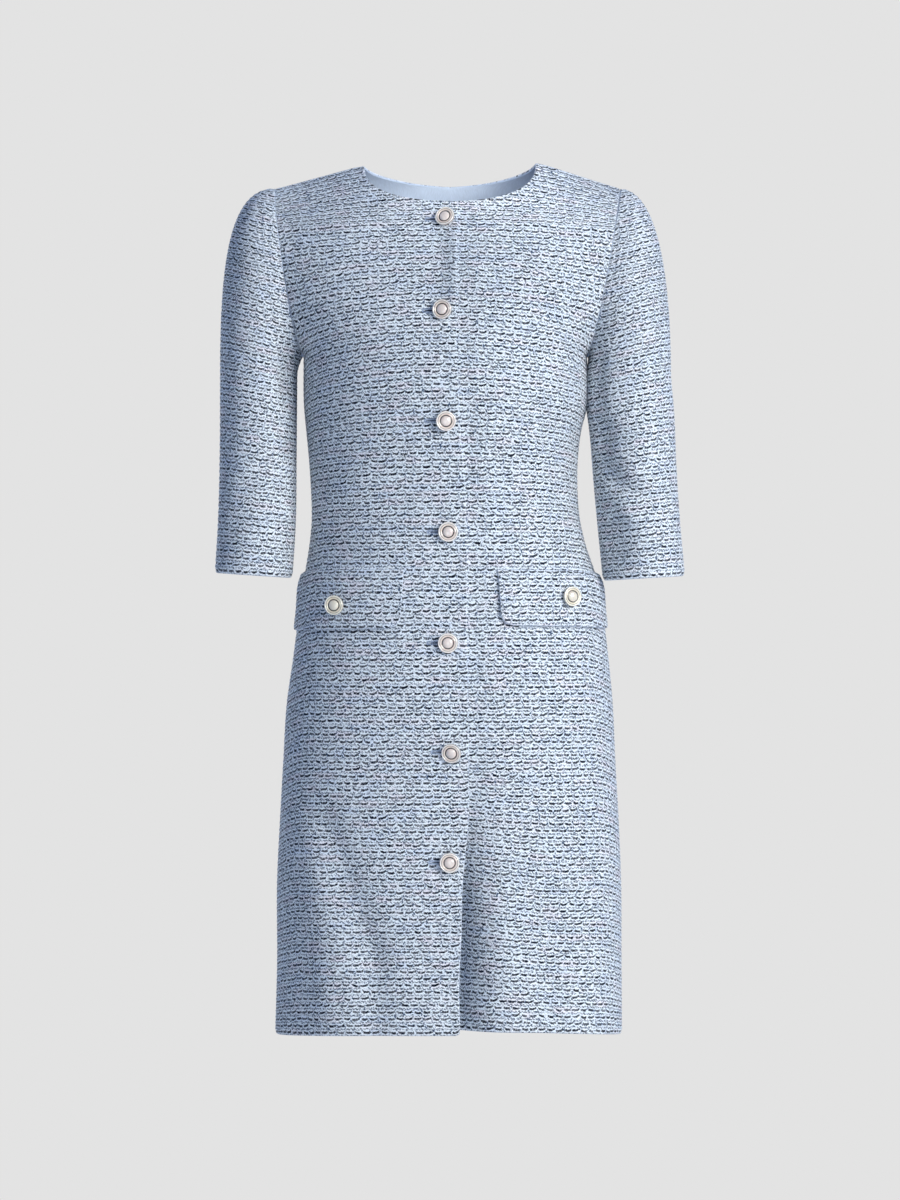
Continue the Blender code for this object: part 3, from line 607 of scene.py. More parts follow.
def front(name, across, row):
    """Outer points and outward directions of a front, with its lap, its vent and its folds."""
    own = FRONTS[name]
    lap = lap_over if own.laps_over else lap_under
    flat, place, direction = folded_panel(
        name, lambda a, r: panel(own.side, -1, lap, own.hem_z, FRONT_NECK, a, r), across, row)
    if not own.laps_over:
        x, z = flat[..., 0], flat[..., 2]
        past_edge = x - smooth(PLACKET_EDGE, "x", z)
        gone = np.clip((past_edge - 1.0) / smooth(VENT, "reach", z), 0, 1)
        dive = VENT_STEEPER * (1 - gone) ** VENT_SHARP
        under = mix(1 - ease(gone), dive, smooth(VENT, "crease", z))
        place[..., 1] += under * (WALL + LAP_GAP + smooth(VENT, "depth", z))
    return round_neck_point(place), direction


def back(half, across, row):
    """Outer points and outward directions of one half of the back, with its folds."""
    _, place, direction = folded_panel(
        "back", lambda a, r: panel(half, 1, no_lap, BACK_HEM_Z, BACK_NECK, a, r), across, row)
    return round_neck_point(place), direction


def sleeve(side, around, down):
    """Outer points of a sleeve: around from the underarm by the front, down from armhole to cuff."""
    angle = around * 2 * math.pi
    rings = SLEEVES[side]
    by_front = armhole(side, -1, np.clip(around * 2, 0, 1))
    by_back = armhole(side, 1, np.clip((1 - around) * 2, 0, 1))
    edge = np.where((around <= 0.5)[..., None], by_front, by_back)
    edge = edge + np.array((side * SEAM_GAP / 2, 0, 0))
    top_z, cuff_z = rings[-1].z, rings[0].z
    length = np.clip((down - CAP_ROWS) / (1 - CAP_ROWS), 0, 1)
    z = mix(top_z, cuff_z, length)
    inner, outer = smooth(rings, "inner", z), smooth(rings, "outer", z)
    touch = TOUCHES[side]
    inner = inner - touch.size * np.exp(-((z - touch.z) / touch.reach) ** 2)
    half = (outer - inner) / 2
    middle, depth = smooth(rings, "middle", z), smooth(rings, "depth", z)
    tilt = CUFF_TILT * length * np.cos(angle)
    tube = points(side * (inner + half - half * np.cos(angle)), middle - depth * np.sin(angle), z - tilt)
    high = (1 - np.cos(angle)) / 2
    hole = ARMHOLES[side]
    leave = edge + points(side * mix(CAP_UNDERARM.cap_out, hole.cap_out, high),
                          -CAP_FORWARD * np.sin(angle),
                          mix(CAP_UNDERARM.cap_rise, hole.cap_rise, high))
    arrive = tube + points(0.0, 0.0, mix(CAP_UNDERARM.cap_fall, hole.cap_fall, high))
    cap = bezier(edge, leave, arrive, tube, np.clip(down / CAP_ROWS, 0, 1))
    return np.where((down > CAP_ROWS)[..., None], tube, cap)


def folded_sleeve(name, side, around, down):
    """Outer points and outward directions of a sleeve, with its folds."""
    place = sleeve(side, around, down)
    direction = normal_of(lambda a, d: sleeve(side, a, d), around, down, lambda a: a % 1,
                          lambda d: np.clip(d, 0, 1)) * -side
    height = fold_height(name, around * 360, place[..., 2], unit_a=SLEEVE_ARC)
    fade = ease(down / SLEEVE_FADE[0]) * ease((1 - down) / SLEEVE_FADE[1])
    return place + direction * (height * fade)[..., None], direction


# %% [markdown]
# ## The knit's own rows
# The pattern repeats every 7.1 mm up the cloth: a row of navy dashes lies in a furrow, and a fainter
# row of specks runs along the ridge between two furrows. The rows run level across the front and
# sag towards the side seams and armholes, as the photograph shows. So the knit's own height is
# worked out first, in rows from the hem, and the panels' points are laid along those rows, four
# lines of points to a row: furrow, slope, ridge, slope.

# %% The height of each knit row
ROW_MM = 7.1                 # one repeat up the cloth
STITCH_MM = 9.4              # one dash and its gap
LINES_A_ROW = 4
WEDGE_Z = -62.0              # above this the rows turn to lie along the shoulder seam
WEDGE_ROWS = 12

PITCHES = table("z step", (-912, 7.1), (-300, 7.1), (-200, 6.9), (-120, 6.2), (0, 5.2))
SAGS = table(
    "z side chest",
    (-912, 0, 0), (-870, 6, 0), (-700, 13, 0), (-500, 12, 0), (-430, 7, 0), (-380, 3, 2),
    (-300, 0, 11), (-250, 0, 21), (-200, 0, 28), (-160, 0, 23), (-120, 0, 15), (-60, 0, 5),
)
SIDE_SAG_FROM = 0.62         # the skirt's rows are level up to this share of their way
CHEST_SAG_POWER = 1.8

# Beside the vent the left front hangs askew, and its rows climb towards the placket.
ASKEW = table("z rise", (-912, 0), (-860, 4), (-800, 9), (-720, 9), (-650, 3), (-600, 0))
ASKEW_REACH = 0.45

heights = np.arange(HEM_SIDE_Z, 20.5, 1.0)
steps = straight(PITCHES, "step", heights)
levels = np.concatenate(([0.0], np.cumsum((1 / steps[1:] + 1 / steps[:-1]) / 2 * np.diff(heights))))


def knit_row(z):
    """The number of knit rows from the hem up to a height."""
    return np.interp(z, heights, levels)


def sag(z, across):
    """How far a knit row hangs below its middle."""
    at_side = straight(SAGS, "side", z) * ease((across - SIDE_SAG_FROM) / (1 - SIDE_SAG_FROM))
    return at_side + straight(SAGS, "chest", z) * np.clip(across, 0, 1) ** CHEST_SAG_POWER


wedge_row = float(round(knit_row(WEDGE_Z)))
print("knit rows from hem to shoulder:", wedge_row + WEDGE_ROWS)


# %% [markdown]
# The relief of the knit is small, about half a millimetre, but it makes the surface look knitted
# from the side and in raking light. Each row's dashes are shifted by an amount that never repeats
# evenly, which the material uses too, so that a dash lies in its own dimple.

# %% Relief of the knit
RIDGE = 0.26
DIMPLE = 0.36
SHIFT_STEP = 0.6180
SHIFT_SWAY = (0.22, 2.4)     # size and rate of the extra shift
SMILE = 0.72                 # how strongly a dash's ends turn up, in rows
DIMPLE_HIGH = 0.13           # a dimple's half height, in rows
DIMPLE_LONG = (0.3, 0.12)    # its half length, and how softly that ends, in stitches
EDGE_ROUND = 1.1             # cut edges are rounded this much
BEAD = 0.35                  # and free edges are rolled into a bead this high
BEAD_WIDE = 3.4
CALM = 3.0                   # the relief dies out this close to an edge


def row_shift(row):
    return (row * SHIFT_STEP) % 1 + SHIFT_SWAY[0] * np.sin(row * SHIFT_SWAY[1])


def knit_relief(along, rows_up):
    """How far the knit stands out at a place on the cloth."""
    row = np.floor(rows_up)
    rise = rows_up - row
    x = (along / STITCH_MM + row_shift(row)) % 1 - 0.5
    ends = 1 - ease((np.abs(x) - DIMPLE_LONG[0]) / DIMPLE_LONG[1])
    dash = np.exp(-((rise - 0.5 - SMILE * x * x) / DIMPLE_HIGH) ** 2) * ends
    return RIDGE * np.cos(2 * math.pi * rise) - DIMPLE * dash


HEM_TURN = (2.2, 7.0)        # a hem turns in this far, over this height


def hem_turn(height):
    """How far the cloth turns in close to its hem or cuff."""
    return HEM_TURN[0] * np.clip(1 - height / HEM_TURN[1], 0, 1) ** 2


# How many times deeper the armhole seam is above the first height and below the second one.
Seam = namedtuple("Seam", "high_z high low_z low")
SEAMS = {-1: Seam(-100.0, 0.15, -135.0, 1.6), 1: Seam(-45.0, 2.0, -82.0, 0.3)}


def seam_depth(side, z):
    """How deep an armhole seam is at a height."""
    own = SEAMS[side]
    return mix(own.high, own.low, ease((own.high_z - z) / (own.high_z - own.low_z)))


def edge_profile(to_seam, to_free):
    """How far cloth sinks near a seam, and how it rolls at a free edge."""
    bead = BEAD * np.sin(np.clip(to_free / BEAD_WIDE, 0, 1) * math.pi)
    return bead - round_off(EDGE_ROUND, np.minimum(to_seam, to_free))


# %% [markdown]
# ## Shells
# A panel is a pair of grids. The outer one is fine and carries the relief, and the inner one has
# the same columns but fewer rows, because the wrong side of the cloth is plain. Bridging their four
# edges closes the wall. Up the sides that is done zone by zone, because bridging shares its faces
# out evenly, and they would reach across a hollow where the inner rows are not even. Every point
# keeps its place on the cloth in an attribute: millimetres along the row, millimetres up, and
# distance to the nearest edge. The materials draw the yarns from it.

# %% Build a shell from grids of points
Sheet = namedtuple("Sheet", "outer inner cloth inner_cloth kept")   # kept: the inner grid's lines
INNER_EVERY = 14


def clothe(plain, direction, through, along, rows_up, to_seam, to_free, kept, deeper=1.0):
    """Both grids of a sheet: outside with its relief and its edges, inside a wall away and plain."""
    nearest = np.minimum(to_seam, to_free)
    rise = knit_relief(along, rows_up) * ease(nearest / CALM)
    rise = rise + edge_profile(to_seam, to_free) * deeper
    outer = plain + direction * rise[..., None]
    cloth = points(along, rows_up * ROW_MM, nearest)
    return Sheet(outer, (plain + through)[:, kept], cloth, cloth[:, kept], kept)


def every(step, count):
    """Each step-th line of so many, and always the last one."""
    return np.unique(np.concatenate((np.arange(0, count, step), [count - 1])))


def add_grid(mesh, spots, cloth, wall, half, lines):
    """Add a grid whose points lie at spots, each with its place on the cloth and its line's number."""
    columns, rows = spots.shape[0] - 1, spots.shape[1] - 1
    keep = mesh.verts.layers.float_vector["cloth"]
    marks = mesh.verts.layers.float_vector["marks"]
    line = mesh.verts.layers.int["line"]
    made = bmesh.ops.create_grid(mesh, x_segments=columns, y_segments=rows, size=0.5)["verts"]
    for vertex in made:
        i = round((vertex.co.x + 0.5) * columns)
        j = round((vertex.co.y + 0.5) * rows)
        vertex.co = spots[i, j] * MM
        vertex[keep] = cloth[i, j]
        vertex[marks] = (wall * 10 + half, (i == 0) + 2 * (i == columns), (j == 0) + 2 * (j == rows))
        vertex[line] = int(lines[j])
    faces = {face for vertex in made for face in vertex.link_faces}
    for face in faces:
        face.material_index = wall


def zones_of(kept):
    """A number for each stretch between kept lines, the same for neighbours of the same length."""
    steps = np.diff(kept)
    return np.concatenate(([0], np.cumsum(steps[1:] != steps[:-1])))


def border_of(edge, marks, line, kept, zones):
    """Which border an edge lies on, and up the sides also in which zone of evenly kept lines."""
    one, other = (vertex[marks] for vertex in edge.verts)
    border = (int(one[1]) & int(other[1]), int(one[2]) & int(other[2]))
    half = max(one[0] % 10, other[0] % 10)
    low = min(vertex[line] for vertex in edge.verts)
    zone = 0 if border[1] else int(zones[np.searchsorted(kept, low + 0.5) - 1])
    return border, half, zone


def shell(name, sheets, materials):
    """Close pairs of grids into one wall, and make an object of it."""
    mesh = bmesh.new()
    mesh.verts.layers.float_vector.new("cloth")
    marks = mesh.verts.layers.float_vector.new("marks")
    line = mesh.verts.layers.int.new("line")
    kept = sheets[0].kept
    zones = zones_of(kept)
    for half, sheet in enumerate(sheets):
        add_grid(mesh, sheet.outer, sheet.cloth, 0, half, np.arange(sheet.outer.shape[1]))
        add_grid(mesh, sheet.inner, sheet.inner_cloth, 1, half, kept)
    if len(sheets) > 1:
        middle = [vertex for vertex in mesh.verts if int(vertex[marks][1]) & 1]
        bmesh.ops.remove_doubles(mesh, verts=middle, dist=0.05 * MM)
    borders = {}
    for edge in mesh.edges:
        if edge.is_boundary:
            borders.setdefault(border_of(edge, marks, line, kept, zones), []).append(edge)
    for edges in borders.values():
        for face in bmesh.ops.bridge_loops(mesh, edges=edges)["faces"]:
            face.material_index = 0
    bmesh.ops.recalc_face_normals(mesh, faces=mesh.faces[:])
    mesh.verts.layers.int.remove(line)
    marks = mesh.verts.layers.float_vector["marks"]   # removing a layer moves the others
    mesh.verts.layers.float_vector.remove(marks)
    return make_object(mesh, name, materials)


def make_object(mesh, name, materials, crease=60):
    """An object of a finished mesh, smooth except where it is bent more than the crease."""
    data = bpy.data.meshes.new(name)
    mesh.to_mesh(data)
    mesh.free()
    data.shade_smooth()
    data.set_sharp_from_angle(angle=math.radians(crease))
    for material in materials:
        data.materials.append(material)
    made = bpy.data.objects.new(name, data)
    bpy.context.collection.objects.link(made)
    print(name, "-", sum(len(face.vertices) - 2 for face in data.polygons), "triangles")
    return made


def run_length(spots, axis):
    """Length along the grid from its start, in one direction."""
    steps = np.linalg.norm(np.diff(spots, axis=axis), axis=-1)
    start = np.zeros_like(np.take(steps, [0], axis=axis))
    return np.concatenate((start, np.cumsum(steps, axis=axis)), axis=axis)


def area_of(spots):
    """Area of a grid of points, in square metres."""
    one = spots[1:, 1:] - spots[:-1, :-1]
    other = spots[1:, :-1] - spots[:-1, 1:]
    return float(np.linalg.norm(np.cross(one, other), axis=-1).sum() / 2) * MM * MM


EDGE_LINES = np.array((0.25, 0.65, 1.2))   # extra lines this close to an edge, for its rounding
EDGE_CLEAR = 1.6                           # and no other line closer than this


def with_edges(inside, reach, length):
    """A run from 0 with the extra lines close to each end."""
    close = EDGE_LINES / length
    kept = inside[(inside > EDGE_CLEAR / length) & (inside < reach - EDGE_CLEAR / length)]
    return np.concatenate(([0.0], close, kept, reach - close[::-1], [reach]))


# %% [markdown]
# ## Cloth materials
# The yarns are drawn from the attribute. In each repeat the navy dash is a short smile-shaped
# stroke, with its own small tilt, lift and length. Halfway between two rows of dashes there are
# grey specks. The ground is a blend of pale blue and white loops, with painted shade darkening each
# loop towards its edge, streaked along the rows with faint pink, green and violet, as a space-dyed
# yarn gives. The wrong side is plain pale blue.

# %% Knit material
NAVY = srgb(2, 7, 26)
SPECK = srgb(30, 46, 66)
LOOP_BLUE = srgb(66, 86, 112)
LOOP_WHITE = srgb(246, 251, 255)
EDGE_TONE = srgb(222, 232, 246)
REVERSE_BLUE = srgb(206, 222, 246)
TINTS = ((0.32, srgb(255, 241, 245)), (0.42, srgb(255, 255, 255)), (0.55, srgb(248, 254, 255)),
         (0.66, srgb(234, 242, 255)))
TINT_SHARE = 0.45
SWAY = (2.6, 1.5)            # the yarns wander this far along and up, in millimetres
DASH_MIDDLE = (0.38, 0.14)   # a dash's height in its row, and how much that varies
DASH_LEAN = 0.6              # how much its slope varies
DASH_RAGGED = 0.32           # how uneven its outline is
DASH_HIGH = (0.14, 0.18)     # it fades out between these heights from its middle line
DASH_LONG = (0.27, 0.14)     # its half length, and how much that varies
DASH_BREAKS = (0.38, 0.46, 0.55, 1.0)    # it is paler where the noise is low
DASH_HALO = 0.28             # pale yarn lies this far above and below it
SPECK_MM = 3.4
LOOPS_A_MM = (0.95, 0.9)


def cloth_place(tree):
    """The three numbers of the cloth attribute."""
    return parts("XYZ", read(tree, "ShaderNodeAttribute", "Vector", attribute_name="cloth"))


def place_at(x, y):
    return read(x.tree, "ShaderNodeCombineXYZ", 0, {0: x, 1: y})


def noise_at(x, y, scale=1.0, detail=2.0):
    """Noise at a place on the cloth, as a number and as three."""
    made = node(x.tree, "ShaderNodeTexNoise",
                {"Vector": place_at(x, y), "Scale": scale, "Detail": detail})
    return Number(x.tree, made.outputs[0]), parts("Color", Number(x.tree, made.outputs["Color"]))


def chance_at(x, y):
    """Chance numbers for a whole x and y: one, and three more."""
    made = node(x.tree, "ShaderNodeTexWhiteNoise", {"Vector": place_at(x, y)}, noise_dimensions="2D")
    return Number(x.tree, made.outputs["Value"]), parts("Color", Number(x.tree, made.outputs["Color"]))


def repeat_of(value):
    """Whole number and remainder of a value."""
    whole = maths("FLOOR", value)
    return whole, value - whole


def knit_dash(along, up, row, rise, ragged, broken):
    """How much navy a place has, and how much pale yarn beside it."""
    shift = maths("SINE", row * SHIFT_SWAY[1]) * SHIFT_SWAY[0] + maths("FRACT", row * SHIFT_STEP)
    stitch, x = repeat_of(along / STITCH_MM + shift)
    x = x - 0.5
    length, (tilt, lift, dark) = chance_at(stitch, row)
    centre = x * x * SMILE + x * ((tilt - 0.5) * DASH_LEAN) + (lift * DASH_MIDDLE[1] + DASH_MIDDLE[0])
    above = rise - (centre + (ragged - 0.5) * DASH_RAGGED)
    ends = (abs(x) - (length * DASH_LONG[1] + DASH_LONG[0])).step(0.0, 0.08, 1.0, 0.0)
    strength = (dark * 0.15 + 0.85) * broken.step(*DASH_BREAKS)
    beside = abs(abs(above) - DASH_HALO).step(0.04, 0.12, 1.0, 0.0)
    return abs(above).step(*DASH_HIGH, 1.0, 0.0) * ends * strength, beside * ends


def knit_speck(along, row, rise, ragged):
    """How much of a grey speck a place between two rows of dashes has."""
    between = 0.5 - abs(rise - 0.5) + (ragged - 0.5) * 0.2
    speck, x = repeat_of(along / SPECK_MM + row * 0.37)
    ends = abs(x - 0.5).step(0.22, 0.4, 1.0, 0.0)
    return abs(between - 0.05).step(0.08, 0.14, 1.0, 0.0) * ends * chance_at(speck, row)[0]


def knit_material():
    made, tree, shader = new_material("tweed_knit", Roughness=0.92, Sheen_Weight=0.08,
                                      Sheen_Roughness=0.5, Specular_IOR_Level=0.08)
    along, up, to_edge = cloth_place(tree)
    wander = noise_at(along, up, 0.16)[1]
    along = along + (wander[0] - 0.5) * SWAY[0]
    up = up + (wander[1] - 0.5) * SWAY[1]
    row, rise = repeat_of(up / ROW_MM)
    ragged, (_, broken, _) = noise_at(along, up, 0.75)
    clear = to_edge.step(0.0, 0.6, 0.1, 1.0)
    dash, beside = knit_dash(along, up, row, rise, ragged, broken)
    dash, speck = dash * clear, knit_speck(along, row, rise, ragged) * clear

    where = place_at(along * LOOPS_A_MM[0], up * LOOPS_A_MM[1])
    loops = node(tree, "ShaderNodeTexVoronoi", {"Vector": where, "Scale": 1.0}, voronoi_dimensions="2D")
    tone = parts("Color", Number(tree, loops.outputs["Color"]))[0].step(0.12, 0.42)
    # Each loop's own random tone, with painted shade darkening it towards its edge, in the gaps between
    # loops.
    loop_tone_and_gap_shade = tone * (Number(tree, loops.outputs["Distance"]).step(0.3, 0.7, 1.0, 0.0) * 0.45 + 0.55)
    ground = blend_colour(tree, loop_tone_and_gap_shade, LOOP_BLUE, LOOP_WHITE)
    ground = blend_colour(tree, beside * 0.9, ground, LOOP_WHITE)
    ramp = node(tree, "ShaderNodeValToRGB", {0: noise_at(along * 0.03, row * 0.83, detail=1.0)[0]})
    while len(ramp.color_ramp.elements) < len(TINTS):
        ramp.color_ramp.elements.new(0.5)
    for element, (position, colour) in zip(ramp.color_ramp.elements, TINTS):
        element.position = position
        element.color = colour
    tinted = blend_colour(tree, TINT_SHARE, ground, Number(tree, ramp.outputs[0]), "MULTIPLY")
    edged = blend_colour(tree, to_edge.step(0.1, 0.8, 0.6, 0.0), tinted, EDGE_TONE)
    specked = blend_colour(tree, speck * 0.95, edged, SPECK)
    link_all(tree, shader, blend_colour(tree, dash, specked, NAVY), loop_tone_and_gap_shade * 0.6 - speck * 0.5 - dash,
             strength=0.6, distance=0.6 * MM)
    return made


def plain_material(name, tone):
    """Plain pale cloth with fine upright lines: the wrong side, and the facing."""
    made, tree, shader = new_material(name, Roughness=0.9, Sheen_Weight=0.2, Specular_IOR_Level=0.2)
    along, up, _ = cloth_place(tree)
    lines = noise_at(along * 0.9, up * 0.16, detail=3.0)[0]
    patches = noise_at(along, up, 0.05)[0]
    shade = lines.step(0.3, 0.7, 0.9, 1.0) * patches.step(0.3, 0.7, 0.95, 1.0)
    link_all(tree, shader, blend_colour(tree, 1.0, tone, shade, "MULTIPLY"), lines,
             strength=0.4, distance=0.5 * MM)
    return made


knit = knit_material()
reverse = plain_material("knit_reverse", REVERSE_BLUE)
facing_cloth = plain_material("facing_cloth", srgb(216, 230, 246))

# %% [markdown]
# ## Fronts and back
# Each column of a panel is sampled up its whole height, and then read where its height meets a knit
# row. That lays the grid along the knitting without changing the surface. Above the chest the rows
# turn gradually until the last one is the shoulder seam.

# %% Grid of a panel along its knit rows
COLUMN_MM = 3.3
FRONT_WIDE = 265             # about so many millimetres, for the number of columns
SLEEVE_ROUND = 290
BACK_COLUMNS = 68
DENSE = ((-210.0, -135.0), (-80.0, 0.0))   # the inner wall keeps every second line at these heights
CORNER = 5.0                 # the placket's lower corner is rounded this much
HEM_LEVEL = 30               # the lowest knit row that is level, however the hem runs
PANEL_SAMPLES = 1601         # a column is read this finely before it is cut into knit rows


def row_lines():
    """The knit rows, four lines to each, from the hem to the shoulder seam."""
    total = wedge_row + WEDGE_ROWS
    inside = np.arange(1, int(total * LINES_A_ROW)) / LINES_A_ROW
    return with_edges(inside, total, ROW_MM)


def neck_lift(side, neck, across, row):
    """How much of the left shoulder's extra height a point of a panel has."""
    share = np.clip((row - neck_row(neck)) / (2 - neck_row(neck)), 0, 1)
    return NECK_RISE * max(side, 0) * share ** 3 * (1 - across) ** 2 * (1 + 2 * across)


def knit_lines(surface, across, hem_z, lift, askew):
    """The panel's row at each column and knit line."""
    samples = np.linspace(0, 2, PANEL_SAMPLES)
    grid_across, grid_row = np.meshgrid(across, samples, indexing="ij")
    column_z = surface(grid_across, grid_row)[0][..., 2] - lift(grid_across, grid_row)
    lines = row_lines()
    low = np.minimum(lines, wedge_row)
    level_z = np.interp(low, levels, heights)
    wanted = level_z[None, :] - sag(level_z[None, :], across[:, None])
    climb = straight(ASKEW, "rise", level_z) * askew
    wanted = wanted + climb[None, :] * (1 - ease(across / ASKEW_REACH))[:, None]
    hem_lift = (column_z[:, :1] - HEM_SIDE_Z) * (1 - ease(low / HEM_LEVEL))
    wanted = wanted + hem_lift
    share = np.clip((lines - wedge_row) / WEDGE_ROWS, 0, 1)
    wanted = mix(wanted, column_z[:, -1:], share[None, :])
    found = np.array([np.interp(want, np.maximum.accumulate(z) + samples * 1e-6, samples)
                      for want, z in zip(wanted, column_z)])
    found[:, 0], found[:, -1] = 0.0, 2.0
    return np.broadcast_to(across[:, None], found.shape), found, np.broadcast_to(lines, found.shape)


def rounded_corner(row, to_edge):
    """Lift the lowest lines close to the placket's edge, so that its lower corner is round."""
    lift, reach = round_off(CORNER, to_edge) * ROW_A_MM, 3 * CORNER * ROW_A_MM
    return row + lift * np.clip(1 - row / reach, 0, 1)


def kept_lines(rows_up):
    """The lines that the inner wall keeps: few where the panel is plain, many where it turns sharply."""
    dense = np.zeros(len(rows_up), bool)
    for low, high in DENSE:
        dense |= (rows_up >= knit_row(low)) & (rows_up <= knit_row(high) + (high >= 0) * WEDGE_ROWS)
    kept = [0]
    while kept[-1] < len(dense) - 1:
        here = kept[-1]
        ahead = np.flatnonzero(dense[here + 1:here + INNER_EVERY])
        step = 2 if dense[here] else int(ahead[0]) + 1 if len(ahead) else INNER_EVERY
        kept.append(min(here + step, len(dense) - 1))
    return np.array(kept)


def panel_sheet(surface, side, face, columns, hem_z, centre_distance=None, askew=0.0, corner=False):
    """Both grids of a panel."""
    across = with_edges(np.linspace(0, 1, columns + 1), 1.0, 280.0)
    neck = FRONT_NECK if face < 0 else BACK_NECK
    grid_across, row, rows_up = knit_lines(surface, across, hem_z,
                                           lambda a, r: neck_lift(side, neck, a, r), askew)
    if corner:
        row = rounded_corner(row, run_length(surface(grid_across, row)[0], 0))
    plain, direction = surface(grid_across, row)
    if centre_distance is not None:          # the two halves must meet exactly on the middle line
        middle = row[0] < neck_row(BACK_NECK) + 1e-6
        plain[0, middle, 0] = 0.0
        direction[0, middle] = unit(direction[0, middle] * (0.0, 1.0, 1.0))
    along, height = run_length(plain, 0), run_length(plain, 1)
    to_centre = along if centre_distance is None else centre_distance(plain)
    to_side = along[-1:] - along
    to_top = height[:, -1:] - height
    to_seam = np.minimum(to_side, to_top)
    to_free = np.minimum(to_centre, height)
    stitches = side * (side * plain[:1, :, 0] + along)
    plain = plain - direction * hem_turn(height)[..., None]
    deeper = np.where(to_side < to_free, seam_depth(side, plain[..., 2]), 1.0)
    at_side, at_top = to_side < 1e-6, to_top < 1e-6
    in_hole = at_side & (row > 1 - 1e-6)
    seam = at_side | at_top
    through = -direction * WALL
    through = np.where(seam[..., None], unit(through * (1, 0, 1)) * WALL, through)
    through = np.where((height < 1e-6)[..., None], unit(through * (1, 1, 0)) * WALL, through)
    through = np.where(in_hole[..., None], armhole_allowance(side, plain), through)
    plain = plain + np.where(seam[..., None], (0, face * SEAM_GAP / 2, 0), 0)
    plain = plain + np.where(in_hole[..., None], (-side * SEAM_GAP / 2, 0, 0), 0)
    sheet = clothe(plain, direction, through, stitches, rows_up, to_seam, to_free,
                   kept_lines(rows_up[0]), deeper)
    return sheet, plain, along, height


# %% Make the fronts and the back
def dress_piece(piece, node_name, flat, area):
    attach(piece, "root")
    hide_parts(node_name)
    print("  cut", [round(v, 3) for v in flat], "m, area", round(area, 4), "m2")


def cut_size(along, height, halves=1):
    """Width and length of the flat cut, with a little room for its curved edges."""
    return (float(along[-1].max() * halves + 4) * MM, float(height[:, -1].max() + 4) * MM)


def knit_piece(name, sheet, plain, along, height):
    """Make a piece of knit from one sheet."""
    made = shell(name + "_knit", [sheet], [knit, reverse])
    dress_piece(made, name, cut_size(along, height), area_of(plain))


for name, own in FRONTS.items():
    knit_piece(name, *panel_sheet(
        lambda a, r: front(name, a, r), own.side, -1, round(FRONT_WIDE / COLUMN_MM), own.hem_z,
        askew=0.0 if own.laps_over else 1.0, corner=own.laps_over))

NECK_SAMPLES = 500
NEAR_NECK_Z = -60.0          # only above this is the distance to the neckline worked out
FAR = 100.0                  # and elsewhere it counts as this


def to_back_neck(spots):
    """Distance from each point to the back neckline."""
    edge = neckline(BACK_NECK, np.linspace(-math.pi / 2, math.pi / 2, NECK_SAMPLES), 1)
    far = np.full(spots.shape[:-1], FAR)
    near = spots[..., 2] > NEAR_NECK_Z
    gaps = np.linalg.norm(spots[near][:, None, :] - edge[None, :, :], axis=-1)
    far[near] = gaps.min(axis=1)
    return far


halves = []
for side in (-1, 1):
    sheet, plain, along, height = panel_sheet(
        lambda a, r: back(side, a, r), side, 1, BACK_COLUMNS, BACK_HEM_Z, to_back_neck)
    halves.append(sheet)
made = shell("back_knit", halves, [knit, reverse])
dress_piece(made, "back", cut_size(along, height, 2), 2 * area_of(plain))

# %% [markdown]
# ## Sleeves
# A sleeve is one panel wrapped round and joined by a seam under the arm. Below the armhole the
# grid follows the knit rows. In the cap the armhole cuts the rows off, so the grid runs on evenly
# to the armhole, and the knit's own height is worked out for each point instead.

# %% Knit rows on a sleeve
SLEEVE_LEAN = table("z slope", (-440, 0.065), (-300, 0.15), (-140, 0.29), (-20, 0.32))
CAP_CENTRE = (-150.0, -25.0, 45.0)   # heights between which a cap's middle moves in, and how far
CAP_LINES = 84
CAP_CLOSE = np.array((0.6, 0.35, 0.12))   # more lines in the last gap before the armhole
SLEEVE_SAMPLES = 1201


def sleeve_rows_up(side, place):
    """Knit rows from the cuff up to each place on a sleeve."""
    rings = SLEEVES[side]
    z = place[..., 2]
    inward = smooth(rings, "outer", z) - side * place[..., 0]
    cuff = knit_row(rings[0].z + CUFF_TILT)
    return knit_row(z + straight(SLEEVE_LEAN, "slope", z) * inward) - cuff


def sleeve_along(side, place):
    """Millimetres round the sleeve from its outer side, along a knit row."""
    rings = SLEEVES[side]
    z = place[..., 2]
    inner, outer = smooth(rings, "inner", z), smooth(rings, "outer", z)
    half, depth = (outer - inner) / 2, smooth(rings, "depth", z)
    low, high, shift = CAP_CENTRE
    centre = (inner + outer) / 2 - shift * ease((z - low) / (high - low))
    x = (side * place[..., 0] - centre) / half
    y = (place[..., 1] - smooth(rings, "middle", z)) / depth
    return np.arctan2(y, x) * np.sqrt((half ** 2 + depth ** 2) / 2)


